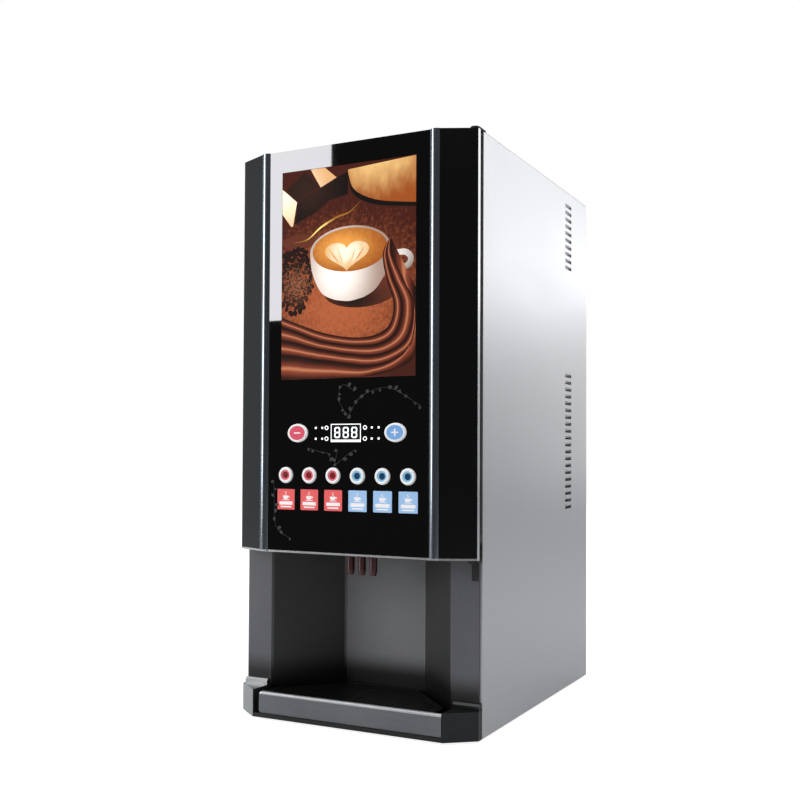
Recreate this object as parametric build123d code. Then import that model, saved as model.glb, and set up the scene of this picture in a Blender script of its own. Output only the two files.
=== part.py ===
"""Table-top hot coffee vending machine: cabinet, hinged front door, cup bay, drip tray and works.

Millimetres, +Z up. X runs to the right of a person facing the machine and Y runs into its depth,
so the front is at -Y. The origin is the middle of the machine's footprint, on the table.
"""
from build123d import *
from math import cos, hypot, pi, sin
import os

# Overall size
WIDTH = 320.0
DEPTH = 450.0
HEIGHT = 700.0
HALF = WIDTH / 2
FRONT = -DEPTH / 2
BACK = DEPTH / 2
FOOT = 3.0
SHEET = 1.2
GAP = 0.3

# Cabinet
CABINET_FRONT = -187.0
RETURN = 10.0
ROOF_BEND = 4.0
LOUVRE_LENGTH = 28.0
LOUVRE_HEIGHT = 5.0
LOUVRE_DEPTH = 5.0
LOUVRE_PITCH = 9.7
LOUVRE_Y = 136.0
LOUVRE_ROWS = ((591.0, 10), (254.0, 20))
REAR_PLATE = 221.4

# Door
DOOR_BOTTOM = 206.0
CAP = 2.3
DOOR_TOP = 697.5
DOOR_REAR = -196.5
SHOULDER = -203.0
FACE = -221.8
RECESS = -219.0
WALL = 2.2
TRIM_INNER = 108.5
TRIM_OUTER = 120.6
RIM = 1.1
PANEL_FRONT = -222.0
PANEL_BACK = -219.2
WINDOW = (91.0, 416.0, 671.0)
HINGE = (154.5, -199.5)
PIN_RADIUS = 2.0

# Controls on the door
BUTTON_X = (-82.5, -49.5, -16.5, 16.5, 49.5, 82.5)
BUTTON_Z = 300.0
BUTTON_RADIUS = 9.6
KEY_X = 66.0
KEY_Z = 351.0
KEY_RADII = (14.0, 11.0)
DISPLAY_Z = 350.8
DISPLAY_SIZE = (41.0, 22.5)
LAMP_X = 26.0
LAMP_Z = (344.0, 357.0)
MARK_X = (-41.0, -32.0, 35.0, 44.0)
BOARD_FRONT = -209.0

# Cup bay, plinth and drip tray
JAMB = -190.0
JAMB_BACK = CABINET_FRONT - GAP
BAY_HALF = 123.0
BAY_BACK_HALF = 55.0
BAY_BACK = -116.5
BAY_TOP = 202.0
BAY_WALL = 2.5
PLINTH_TOP = 36.0
PLINTH_CORNER = 126.6
PLINTH_SHOULDER = -197.5
LIP_TOP = 43.0
TRAY_LEFT = -118.5
TRAY_RIGHT = 125.9
TRAY_BOTTOM = 8.6
TRAY_TOP = 34.7
NOZZLE_X = (-15.5, 0.0, 15.5)
NOZZLE_Y = -179.0
NOZZLE_TIP = 179.0

# Works
CANISTER_X = (-102.0, 0.0, 102.0)
CANISTER_HALF = 48.0
CANISTER_TOP = 620.0
CANISTER_LENGTH = 100.0
AUGER_Z = 500.0
LID_Y = -30.5
SHELF_TOP = 480.0
MIXER_Y = -130.0
WHIPPER_Z = 400.0
HOSE_Y = -172.0
LOCK_Y = -163.0
LOCK_Z = 440.0
LOCK_RADIUS = 9.5


# ---------------------------------------------------------------- form helpers

def block(x0, x1, y0, y1, z0, z1):
    """A box between two corners."""
    middle = Pos((x0 + x1) / 2, (y0 + y1) / 2, (z0 + z1) / 2)
    return middle * Box(x1 - x0, y1 - y0, z1 - z0)


def upright(outline, z0, z1):
    """A plan outline raised from z0 to z1."""
    face = make_face(Polyline(*[(x, y, z0) for x, y in outline], close=True))
    return extrude(face, amount=z1 - z0, dir=(0, 0, 1))


def along_y(outline, y0, y1):
    """A front-view outline of (x, z) points carried from y0 to y1."""
    face = make_face(Polyline(*[(x, y0, z) for x, z in outline], close=True))
    return extrude(face, amount=y1 - y0, dir=(0, 1, 0))


def bar(radius, length):
    """A round bar standing on the origin, cut as a light many-sided prism."""
    return extrude(RegularPolygon(radius, 16 if radius > 7 else 10), length)


def post(x, y, z0, z1, radius):
    """A round bar standing along Z."""
    return Pos(x, y, z0) * bar(radius, z1 - z0)


def rod_y(x, z, y0, y1, radius):
    """A round bar lying along Y."""
    return Pos(x, y0, z) * Rot(-90, 0, 0) * bar(radius, y1 - y0)


def rod_x(y, z, x0, x1, radius):
    """A round bar lying along X."""
    return Pos(x0, y, z) * Rot(0, 90, 0) * bar(radius, x1 - x0)


def turned(profile, sides=16):
    """A turned piece with flat sides: an outline of (radius, height) points spun about Z."""
    corners = [2 * pi * step / sides for step in range(sides)]
    faces = []
    for (r0, z0), (r1, z1) in zip(profile, profile[1:] + profile[:1]):
        if r0 == r1 == 0:
            continue
        for a, b in zip(corners, corners[1:] + corners[:1]):
            quad = [(r0 * cos(a), r0 * sin(a), z0), (r1 * cos(a), r1 * sin(a), z1),
                    (r1 * cos(b), r1 * sin(b), z1), (r0 * cos(b), r0 * sin(b), z0)]
            if r0 == 0:
                quad.pop()
            if r1 == 0:
                quad.pop(2)
            faces.append(Face(Wire.make_polygon(quad)))
    return Solid(Shell(faces))


def facing_front(piece, x, y, z):
    """Lay a piece made along +Z so that it points to the front, with its base at x, y, z."""
    return Pos(x, y, z) * Rot(90, 0, 0) * piece


def symmetric(right_half):
    """A whole plan outline from its right half, given from back to front."""
    return right_half + [(-x, y) for x, y in reversed(right_half)]


def mirrored(piece):
    """The left-hand twin of a right-hand piece."""
    return mirror(piece, about=Plane.YZ)


# ---------------------------------------------------------------- cabinet

def louvre_slot(side, z):
    """The opening of one louvre seen along Y, cut right through the side sheet."""
    low = z - LOUVRE_HEIGHT / 2
    high = z + LOUVRE_HEIGHT / 2
    outline = [(HALF - SHEET - 1, low), (HALF + 1, low), (HALF + 1, high), (HALF - SHEET - 1, high)]
    return [(side * x, height) for x, height in outline]


def louvre_flap(side, z):
    """The strip pressed inwards behind the slot, hanging from its upper edge, seen along Y."""
    low = z - LOUVRE_HEIGHT / 2
    high = z + LOUVRE_HEIGHT / 2
    foot = HALF - LOUVRE_DEPTH
    outline = [(HALF, high + 0.6), (HALF, high), (foot, low), (foot - 0.9, low + 0.4),
               (HALF - SHEET, high + 0.6)]
    return [(side * x, height) for x, height in outline]


def louvre_cheek(side, z):
    """The drawn end that joins a flap to the sheet, seen along Y."""
    low = z - LOUVRE_HEIGHT / 2
    high = z + LOUVRE_HEIGHT / 2
    outline = [(HALF, high + 0.6), (HALF - LOUVRE_DEPTH, low), (HALF, low)]
    return [(side * x, height) for x, height in outline]


def louvres():
    """All slots, and all flaps with their end cheeks, as two lists of solids."""
    slots = []
    flaps = []
    y0 = LOUVRE_Y - LOUVRE_LENGTH / 2
    y1 = LOUVRE_Y + LOUVRE_LENGTH / 2
    for side in (-1, 1):
        for lowest, count in LOUVRE_ROWS:
            for row in range(count):
                z = lowest + row * LOUVRE_PITCH
                slots.append(along_y(louvre_slot(side, z), y0, y1))
                flaps.append(along_y(louvre_flap(side, z), y0 - 1, y1 + 1))
                flaps.append(along_y(louvre_cheek(side, z), y0 - 1, y0))
                flaps.append(along_y(louvre_cheek(side, z), y1, y1 + 1))
    return slots, flaps


def cabinet_shell():
    """One sheet bent over the top and down both sides, with returns round the front opening."""
    outer = block(-HALF, HALF, CABINET_FRONT, BACK, FOOT, HEIGHT)
    outer = fillet(outer.edges().filter_by(Axis.Y).group_by(Axis.Z)[-1], ROOF_BEND)
    inner = block(-HALF + SHEET, HALF - SHEET, CABINET_FRONT - 1, BACK + 1, FOOT - 1, HEIGHT - SHEET)
    inner = fillet(inner.edges().filter_by(Axis.Y).group_by(Axis.Z)[-1], ROOF_BEND - SHEET)
    shell = outer - inner
    rear_of_return = CABINET_FRONT + SHEET
    inside = HALF - RETURN
    shell += block(inside, HALF - SHEET / 2, CABINET_FRONT, rear_of_return, FOOT, HEIGHT - ROOF_BEND)
    shell += block(-HALF + SHEET / 2, -inside, CABINET_FRONT, rear_of_return, FOOT, HEIGHT - ROOF_BEND)
    shell += block(-inside - 2, inside + 2, CABINET_FRONT, rear_of_return, HEIGHT - RETURN,
                   HEIGHT - SHEET / 2)
    slots, flaps = louvres()
    shell = shell - slots + flaps
    shell -= rod_x(LOCK_Y, LOCK_Z, -HALF - 1, -150, LOCK_RADIUS + 0.2)
    return shell - block(145, HALF + 1, CABINET_FRONT - 1, -180, HEIGHT - 2.2, HEIGHT + 1)


def rear_panel():
    """Removable back: a tray-shaped sheet with vent slots and openings for the services."""
    half = HALF - SHEET - GAP
    panel = block(-half, half, REAR_PLATE - 12, REAR_PLATE + SHEET, FOOT + 2, HEIGHT - SHEET - GAP)
    panel = fillet(panel.edges().filter_by(Axis.Y).group_by(Axis.Z)[-1], ROOF_BEND)
    panel -= block(-half + SHEET, half - SHEET, REAR_PLATE - 13, REAR_PLATE, FOOT + 2 + SHEET,
                   HEIGHT - 2 * SHEET - GAP)
    slots = []
    for column in (-70, 0, 70):
        for row in range(8):
            z = 560 + 12 * row
            slots.append(block(column - 25, column + 25, REAR_PLATE - 1, REAR_PLATE + 3, z, z + 5))
    panel -= slots
    panel -= block(-124, -96, REAR_PLATE - 1, REAR_PLATE + 3, 50, 70)
    for x in (90, 120):
        panel -= rod_y(x, 60, REAR_PLATE - 2, REAR_PLATE + 4, 10)
    return panel


def rear_screws():
    """Domed screws round the edge of the back."""
    screws = []
    for x in (-145, 145):
        for z in (40, 200, 360, 520, 680):
            head = turned([(0, 0), (4, 0), (3, 1.8), (0, 1.8)], sides=8)
            screws.append(Pos(x, REAR_PLATE + SHEET, z) * Rot(-90, 0, 0) * head)
    return Compound(screws)


def base_pan():
    """Chassis floor with upturned sides, and a tongue with runners under the drip tray."""
    half = HALF - SHEET - GAP
    pan = block(-half, half, -185, REAR_PLATE - 14, FOOT, FOOT + SHEET)
    for x0 in (-half, half - SHEET):
        pan += block(x0, x0 + SHEET, -185, REAR_PLATE - 14, FOOT, FOOT + 12)
    pan += block(-126, 126, FRONT + 1, -184, FOOT, FOOT + SHEET)
    pan += block(-126, 126, FRONT + 1, FRONT + 1 + SHEET, FOOT, TRAY_BOTTOM - 0.4)
    for x in (-40, 40):
        pan += block(x - 4, x + 4, -218, -122, FOOT, TRAY_BOTTOM - 0.3)
    return pan


def feet():
    """Four low rubber pads."""
    pads = []
    for x in (-125, 125):
        for y in (-160, 180):
            pad = turned([(0, 0), (11, 0), (12, 1), (12, FOOT), (0, FOOT)])
            pads.append(Pos(x, y, 0) * pad)
    return Compound(pads)


# ---------------------------------------------------------------- cup bay and plinth

def bay_outline():
    """Plan of the space for the cup: a flat back and two slanted walls."""
    return symmetric([(BAY_BACK_HALF, BAY_BACK), (BAY_HALF, JAMB)])


def bay_surround():
    """Moulded bay: slanted walls, flat back, ceiling with nozzle holes, and the front jambs."""
    space = make_face(Polyline(*[(x, y, 0) for x, y in bay_outline()], close=True))
    skin = offset(space, amount=BAY_WALL, kind=Kind.INTERSECTION)
    bottom = FOOT + SHEET + GAP
    walls = extrude(Pos(0, 0, bottom) * skin, amount=BAY_TOP + BAY_WALL - bottom, dir=(0, 0, 1))
    walls -= extrude(Pos(0, 0, bottom - 1) * space, amount=BAY_TOP + 1 - bottom, dir=(0, 0, 1))
    walls -= block(-HALF, HALF, FRONT, JAMB, 0, HEIGHT)
    for x0 in (-157, BAY_HALF):
        walls += block(x0, x0 + 157 - BAY_HALF, JAMB, JAMB_BACK, LIP_TOP + GAP, BAY_TOP + 2)
    walls += block(-146, 146, JAMB_BACK, JAMB_BACK + 2.2, BAY_TOP, 236)
    for x in NOZZLE_X:
        walls -= post(x, NOZZLE_Y, BAY_TOP - 1, BAY_TOP + 4, 5.6)
    return walls


def corner_blocks():
    """The two chamfered ends of the plinth, each with a raised lip under its jamb."""
    plan = [(PLINTH_CORNER, FRONT), (HALF, PLINTH_SHOULDER), (HALF, JAMB_BACK),
            (PLINTH_CORNER, JAMB_BACK)]
    right = upright(plan, FOOT, PLINTH_TOP)
    hollow = [(PLINTH_CORNER + 3, -216), (HALF - 3, PLINTH_SHOULDER + 1), (HALF - 3, JAMB_BACK + 1),
              (PLINTH_CORNER + 3, JAMB_BACK + 1)]
    right -= upright(hollow, FOOT - 1, PLINTH_TOP - 3)
    right += block(PLINTH_CORNER, HALF - 1, -194, JAMB_BACK, PLINTH_TOP - 1, LIP_TOP)
    right = chamfer(right.edges().filter_by(Axis.X).group_by(Axis.Z)[-1].sort_by(Axis.Y)[0], 2.5)
    return Compound([right, mirrored(right)])


def tray_plan(inset):
    """Plan of the tray behind its front, parallel to the bay walls and drawn in by inset."""
    return symmetric([(47 - inset * 0.6, -120.5 - inset), (113.5 - inset, -192),
                      (113.5 - inset, -220.5)])


def drip_tray():
    """Drawer-like tray: a tall front with a rolled top edge, and a basin that narrows behind."""
    basin = upright(tray_plan(0), TRAY_BOTTOM, TRAY_TOP - 0.4)
    basin -= upright(tray_plan(2), TRAY_BOTTOM + 2, TRAY_TOP)
    ledge = upright(tray_plan(0.5), TRAY_TOP - 5.6, TRAY_TOP - 3.6)
    ledge -= upright(tray_plan(5), TRAY_BOTTOM, TRAY_TOP)
    front = block(TRAY_LEFT, TRAY_RIGHT, FRONT, FRONT + 4.8, TRAY_BOTTOM, TRAY_TOP)
    left_corners = front.edges().filter_by(Axis.Y).group_by(Axis.X)[0]
    front = fillet(left_corners, 4)
    top_edge = front.edges().filter_by(Axis.X).group_by(Axis.Z)[-1].sort_by(Axis.Y)[0]
    front = fillet(top_edge, 1.8)
    return basin + ledge + front


def drip_grille():
    """Slotted plate that carries the cup."""
    plate = upright(tray_plan(2.4), TRAY_TOP - 3.2, TRAY_TOP - 0.4)
    plate -= block(-HALF, HALF, FRONT, FRONT + 5.2, 0, HEIGHT)
    slots = []
    for row in range(12):
        y = -212 + row * 7.2
        half_span = min(104.0, 104.0 - (y + 192) * 0.93)
        for x0, x1 in ((-half_span, -3), (3, half_span)):
            slots.append(block(x0, x1, y - 1.5, y + 1.5, 0, HEIGHT))
    return plate - slots


def nozzles():
    """Three drink outlets with tapered, bored tips."""
    tips = []
    for x in NOZZLE_X:
        tip = turned([(2.4, 0), (3.8, 0), (5, 5), (5, 25.6), (2.4, 25.6)])
        tips.append(Pos(x, NOZZLE_Y, NOZZLE_TIP) * tip)
    return Compound(tips)


def nozzle_block():
    """Manifold above the bay that joins the hoses to the nozzles."""
    body = block(-30, 30, -184.4, -160, BAY_TOP + 2.8, 220)
    body = chamfer(body.edges().filter_by(Axis.Z), 3)
    for x in NOZZLE_X:
        body += post(x, HOSE_Y, 219, 226, 6.5)
    return body


# ---------------------------------------------------------------- hinge and lock

def hinge_brackets():
    """Lower and upper hinge plates on the cabinet, each with its pin into the door."""
    x, y = HINGE
    lower = block(146, x + 1, -196, JAMB - 0.2, 202.6, 205) + post(x, y, 202.6, 205, 5.5)
    lower += block(149, HALF, y, JAMB - 0.2, 202.6, 205)
    lower += block(149, 156.5, JAMB - 2.2, JAMB - 0.2, 182, 204)
    lower += post(x, y, 204, 220, PIN_RADIUS)
    upper = block(149, HALF, y, -180.3, HEIGHT - 2, HEIGHT) + post(x, y, HEIGHT - 2, HEIGHT, 5.5)
    upper += block(149, 156, CABINET_FRONT + SHEET, -183.6, 660, HEIGHT - 1)
    upper += post(x, y, 684, HEIGHT - 1, PIN_RADIUS)
    return Compound([lower, upper])


def lock_barrel():
    """Key lock set flush in the left side: a face with a key slot, and a threaded body and nut."""
    barrel = rod_x(LOCK_Y, LOCK_Z, -HALF, -155, LOCK_RADIUS) + rod_x(LOCK_Y, LOCK_Z, -156, -141, 8)
    barrel -= block(-HALF - 1, -157, LOCK_Y - 0.9, LOCK_Y + 0.9, LOCK_Z - 5, LOCK_Z + 5)
    nut = Pos(-155, LOCK_Y, LOCK_Z) * Rot(0, 90, 0) * extrude(RegularPolygon(12, 6), 3)
    return barrel + nut


def lock_cam():
    """Cam blade on the inner end of the lock, pointing forward while unlocked."""
    cam = rod_x(LOCK_Y, LOCK_Z, -140.6, -138.2, 6.5)
    cam += block(-140.6, -138.2, LOCK_Y - 14, LOCK_Y, LOCK_Z - 4, LOCK_Z + 4)
    return cam + rod_x(LOCK_Y - 14, LOCK_Z, -140.6, -138.2, 4)


def lock_strike():
    """Bent catch on the door that the cam drops in front of."""
    strike = block(-148, -134, DOOR_REAR, DOOR_REAR + 2, 405, 443)
    strike += block(-136, -134, DOOR_REAR, -155.5, 417, 430)
    return strike + block(-142.5, -134, -157.5, -155.5, 417, 430)


# ---------------------------------------------------------------- door

def chamfer_y(x, inset=0.0):
    """Y of the door's slanted corner face at x, moved inwards square to the face by inset."""
    slope = (SHOULDER - FACE) / (HALF - TRIM_OUTER)
    return SHOULDER - (HALF - x) * slope + inset * hypot(1, slope)


def door_frame():
    """Folded door shell: slanted corners, a recess for the front panel, and hinge corners."""
    z0 = DOOR_BOTTOM + CAP
    side = HALF - RIM
    plan = symmetric([(side, DOOR_REAR), (side, SHOULDER), (HALF, SHOULDER), (TRIM_OUTER, FACE),
                      (TRIM_OUTER, RECESS)])
    frame = upright(plan, z0, DOOR_TOP)
    slope = (SHOULDER - FACE) / (HALF - TRIM_OUTER)
    inner_side = side - WALL
    inner_front = RECESS + WALL
    corner_x = HALF - (chamfer_y(HALF, WALL) - inner_front) / slope
    hollow = symmetric([(inner_side, DOOR_REAR + 1), (inner_side, chamfer_y(inner_side, WALL)),
                        (corner_x, inner_front)])
    cavity = upright(hollow, z0 + WALL, DOOR_TOP - WALL)
    for low, high in ((z0, z0 + 15), (DOOR_TOP - 15, DOOR_TOP)):
        cavity -= block(HALF - 10.5, HALF, FRONT, DOOR_REAR + 2, low, high)
    frame -= cavity
    half, low, high = WINDOW
    frame -= block(-half - 2, half + 2, FRONT, inner_front + 1, low - 2, high + 2)
    frame -= block(-100, 100, FRONT, inner_front + 1, 284, 372)
    return frame - post(*HINGE, 190, HEIGHT + 1, PIN_RADIUS + 0.4)


def edge_band():
    """Bright trim: a cap plate under the door and a strip down each side."""
    plan = symmetric([(HALF, DOOR_REAR), (HALF, SHOULDER), (TRIM_OUTER, FACE),
                      (TRIM_OUTER - 2, -224.2), (TRIM_INNER + 1, -224.2), (TRIM_INNER - 1, -222.6)])
    cap = upright(plan, DOOR_BOTTOM, DOOR_BOTTOM + CAP)
    cap -= post(*HINGE, 190, 215, PIN_RADIUS + 0.4)
    strip = block(HALF - RIM, HALF, SHOULDER, DOOR_REAR, DOOR_BOTTOM + CAP, DOOR_TOP)
    return Compound([cap, strip, mirrored(strip)])


def corner_trims():
    """Two extruded aluminium trims with a rounded ridge, full height of the door."""
    z0 = DOOR_BOTTOM + CAP
    x0 = TRIM_INNER + 0.1
    x1 = TRIM_OUTER - 0.1
    y = PANEL_FRONT
    ridge = ThreePointArc((x0, y, z0), ((x0 + x1) / 2, FRONT, z0), (x1, y, z0))
    sides = Polyline((x1, y, z0), (x1, RECESS - 0.2, z0), (x0, RECESS - 0.2, z0), (x0, y, z0))
    section = make_face([ridge, sides])
    right = extrude(section, amount=DOOR_TOP - z0, dir=(0, 0, 1))
    return Compound([right, mirrored(right)])


def oval(half_wide, half_tall, y0, y1):
    """An oval bar along Y with many flat sides."""
    turns = [2 * pi * step / 28 for step in range(28)]
    return along_y([(half_wide * cos(a), half_tall * sin(a)) for a in turns], y0, y1)


def front_panel():
    """Glossy black panel with the poster window and a hole for each control."""
    z0 = DOOR_BOTTOM + CAP + 0.2
    panel = block(-TRIM_INNER, TRIM_INNER, PANEL_FRONT, PANEL_BACK, z0, DOOR_TOP)
    half, low, high = WINDOW
    panel -= block(-half, half, FRONT, -210, low, high)
    bore = extrude(RegularPolygon(BUTTON_RADIUS + 0.45, 24), 12)
    holes = [facing_front(bore, x, -214, BUTTON_Z) for x in BUTTON_X]
    for x in (-KEY_X, KEY_X):
        hole = oval(KEY_RADII[0] + 0.4, KEY_RADII[1] + 0.4, FRONT, -210)
        holes.append(Pos(x, 0, KEY_Z) * hole)
    for x in (-LAMP_X, LAMP_X):
        for z in LAMP_Z:
            holes.append(rod_y(x, z, FRONT, -210, 2.6))
    wide, tall = DISPLAY_SIZE
    holes.append(block(-wide / 2 - 0.1, wide / 2 + 0.1, FRONT, -210, DISPLAY_Z - tall / 2 - 0.1,
                       DISPLAY_Z + tall / 2 + 0.1))
    return panel - holes


def poster():
    """Printed translucent film that fills the window."""
    half, low, high = WINDOW
    return block(-half + 0.1, half - 0.1, PANEL_FRONT + 0.3, PANEL_BACK, low + 0.1, high - 0.1)


def light_box():
    """Tray behind the poster with upright rows of lamps."""
    half, low, high = WINDOW
    y_front = RECESS + WALL + 0.3
    box = block(-half - 4, half + 4, y_front, -199, low - 5, high + 5)
    box -= block(-half - 2.5, half + 2.5, y_front - 1, -200.5, low - 3.5, high + 3.5)
    for x in (-60, -20, 20, 60):
        box += block(x - 4, x + 4, -203, -200, low + 10, high - 10)
    return box


def display():
    """Three-figure number window on its module."""
    wide, tall = DISPLAY_SIZE
    lens = block(-wide / 2, wide / 2, PANEL_FRONT + 0.2, PANEL_BACK + 1, DISPLAY_Z - tall / 2,
                 DISPLAY_Z + tall / 2)
    return lens + block(-22, 22, PANEL_BACK, BOARD_FRONT, DISPLAY_Z - 14, DISPLAY_Z + 14)


def indicator_lamps():
    """Round lamps beside the number window, and small square marks further out."""
    lamps = []
    for z in LAMP_Z:
        for x in (-LAMP_X, LAMP_X):
            lamps.append(rod_y(x, z, PANEL_FRONT - 0.3, BOARD_FRONT, 2.5))
        for x in MARK_X:
            lamps.append(block(x - 1.6, x + 1.6, PANEL_FRONT - 0.3, PANEL_FRONT, z - 1.6, z + 1.6))
    return Compound(lamps)


def drink_labels():
    """Six stickers under the drink buttons."""
    labels = []
    for x in BUTTON_X:
        labels.append(block(x - 12.25, x + 12.25, PANEL_FRONT - 0.3, PANEL_FRONT, 258, 283))
    return Compound(labels)


def drink_button(x):
    """Round push button: dished cap, square collar behind the panel and a square stem."""
    profile = [(0, 0), (BUTTON_RADIUS, 0), (BUTTON_RADIUS, 4.8), (8.4, 5.6), (7.0, 5.6), (5.2, 4.8),
               (0, 4.8)]
    cap = facing_front(turned(profile, sides=24), 0, -218.8, 0)
    collar = block(-11, 11, -218.8, -216.8, -11, 11)
    stem = block(-4, 4, -216.8, -212.2, -4, 4)
    return Pos(x, 0, BUTTON_Z) * (cap + collar + stem)


def setting_key(x):
    """Oval key with a stepped cap, a collar behind the panel and a square stem."""
    half_wide, half_tall = KEY_RADII
    cap = oval(half_wide, half_tall, -223.2, -218.8)
    cap += oval(half_wide - 1.4, half_tall - 1.4, -224.2, -223.2)
    collar = block(-half_wide - 2, half_wide + 2, -218.8, -217, -half_tall - 2, half_tall + 2)
    return Pos(x, 0, KEY_Z) * (cap + collar + block(-4, 4, -217, -212.2, -4, 4))


def control_board():
    """Circuit board behind the controls, with one small switch under each button."""
    board = block(-98, 98, BOARD_FRONT, BOARD_FRONT + 1.6, 285, 370)
    places = [(x, BUTTON_Z) for x in BUTTON_X] + [(-KEY_X, KEY_Z), (KEY_X, KEY_Z)]
    for x, z in places:
        board += block(x - 3, x + 3, BOARD_FRONT - 1.2, BOARD_FRONT, z - 3, z + 3)
    for x in (-60, 0, 60):
        board += block(x - 9, x + 9, BOARD_FRONT + 1, BOARD_FRONT + 4.4, 318, 330)
    return board


def inner_cover():
    """Pressed cover that closes the back of the door."""
    half = HALF - RIM - WALL - GAP
    low = DOOR_BOTTOM + CAP + WALL + GAP
    high = DOOR_TOP - WALL - GAP
    cover = block(-half, half, DOOR_REAR - 1.5, DOOR_REAR, low, high)
    raised = block(-128, 128, DOOR_REAR - 1.5, -190, 234, 672)
    cover += chamfer(raised.edges().group_by(Axis.Y)[-1], 5)
    cover -= block(-126, 126, DOOR_REAR - 2, -191.5, 240, 666)
    for z0, z1 in ((low - 1, 224.6), (681.4, high + 1)):
        cover -= block(HALF - 11, HALF, FRONT, -190, z0, z1)
    return cover


def door_gasket():
    """Foam seal round the back of the door."""
    outer = block(-155, 155, DOOR_REAR, CABINET_FRONT - 0.5, 229, 690)
    outer = fillet(outer.edges().filter_by(Axis.Y), 8)
    return outer - fillet(block(-150, 150, -198, -180, 234, 685).edges().filter_by(Axis.Y), 4)


# ---------------------------------------------------------------- works

def canister_section(inset):
    """Front view of a powder canister: straight sides that slope into a round trough."""
    half = CANISTER_HALF - inset
    trough = 17 - inset
    top = CANISTER_TOP - inset
    left = Polyline((-trough, 0, AUGER_Z), (-half, 0, 540), (-half, 0, top), (half, 0, top),
                    (half, 0, 540), (trough, 0, AUGER_Z))
    turns = [pi * step / 8 for step in range(9)]
    bottom = Polyline(*[(trough * cos(a), 0, AUGER_Z - trough * sin(a)) for a in turns])
    return make_face([left, bottom])


def canister(x):
    """Powder canister with a fixed rear roof, an open filling mouth and a spout in front."""
    length = CANISTER_LENGTH
    body = extrude(Pos(0, -length, 0) * canister_section(0), amount=2 * length, dir=(0, 1, 0))
    for y in (-62, 62):
        body += block(-42, 42, y - 2, y + 2, SHELF_TOP, 545)
    body += rod_y(0, AUGER_Z, -length - 32, -length, 17)
    body += block(-13, 13, -length - 30, -length - 6, 470, AUGER_Z)
    body -= extrude(Pos(0, 2 - length, 0) * canister_section(2), amount=2 * length - 4, dir=(0, 1, 0))
    body -= block(-46, 46, 2 - length, LID_Y, CANISTER_TOP - 10, CANISTER_TOP + 1)
    body -= rod_y(0, AUGER_Z, -length - 30, 3 - length, 15)
    body -= block(-11, 11, -length - 28, -length - 8, 469, AUGER_Z)
    body -= rod_y(0, AUGER_Z, length - 3, length + 1, 5)
    return Pos(x, 0, 0) * body


def canister_lid(x):
    """Filling flap with a turned-down pull lip, hinged at its rear edge."""
    lid = block(-47.5, 47.5, 0.4 - CANISTER_LENGTH, LID_Y - 1, CANISTER_TOP + 0.3, CANISTER_TOP + 2.3)
    lip_back = -CANISTER_LENGTH - 0.4
    lid += block(-14, 14, lip_back - 2.6, 1 - CANISTER_LENGTH, CANISTER_TOP + 0.3, CANISTER_TOP + 2.3)
    lid += block(-14, 14, lip_back - 2.6, lip_back, CANISTER_TOP - 6, CANISTER_TOP + 2.3)
    for side in (-30, 30):
        lid += rod_x(LID_Y, CANISTER_TOP + 2.4, side - 8, side + 8, 1.8)
    return Pos(x, 0, 0) * lid


def screw_flight(root, tip, pitch, turns, thickness):
    """A helical blade round Z with flat facets, from the shaft's radius out to its tip."""
    steps = 8
    rings = []
    for step in range(turns * steps + 1):
        angle = 2 * pi * step / steps
        rise = pitch * step / steps
        ring = [(root, 0), (tip, 0), (tip, thickness), (root, thickness)]
        rings.append([(r * cos(angle), r * sin(angle), rise + z) for r, z in ring])
    faces = [Face(Wire.make_polygon(rings[0])), Face(Wire.make_polygon(rings[-1]))]
    for near, far in zip(rings, rings[1:]):
        for a, b in ((0, 1), (1, 2), (2, 3), (3, 0)):
            faces.append(Face(Wire.make_polygon([near[a], near[b], far[b]])))
            faces.append(Face(Wire.make_polygon([near[a], far[b], far[a]])))
    return Solid(Shell(faces))


def auger(x):
    """Dosing screw: a shaft with one flight wound round it."""
    shaft = rod_y(0, 0, -126, 111.4, 4)
    flight = screw_flight(root=4.0, tip=12.6, pitch=30, turns=6, thickness=2.2)
    flight = Pos(0, 88, 0) * Rot(90, 0, 0) * flight
    return Pos(x, 0, AUGER_Z) * Compound([shaft, flight])


def auger_motors():
    """Geared motors behind the canisters."""
    motors = []
    for x in CANISTER_X:
        gearbox = block(x - 24, x + 24, 112, 138, SHELF_TOP, 528)
        gearbox = chamfer(gearbox.edges().filter_by(Axis.Y), 5)
        motors.append(gearbox + rod_y(x, 506, 138, 176, 17))
    return Compound(motors)


def shelf():
    """Shelf across the cabinet with turned-down front and side edges."""
    half = HALF - SHEET - GAP
    plate = block(-half, half, -100, 190, SHELF_TOP - 1.5, SHELF_TOP)
    plate += block(-half, half, -100, -98.5, SHELF_TOP - 14, SHELF_TOP)
    for x0 in (-half, half - 1.5):
        plate += block(x0, x0 + 1.5, -100, 190, SHELF_TOP - 14, SHELF_TOP)
    return plate


def mixer_panel():
    """Plate that hangs from the shelf and carries the mixers in front and their motors behind."""
    plate = block(-150, 150, -98, -96.2, 350, SHELF_TOP - 15)
    plate += block(-150, 150, -96.2, -84, 350, 351.8)
    for x in CANISTER_X:
        plate -= rod_y(x, WHIPPER_Z, -99, -95, 12)
        plate -= block(x - 35.5, x + 35.5, -99, -95, 427, SHELF_TOP - 18)
    return plate


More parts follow.
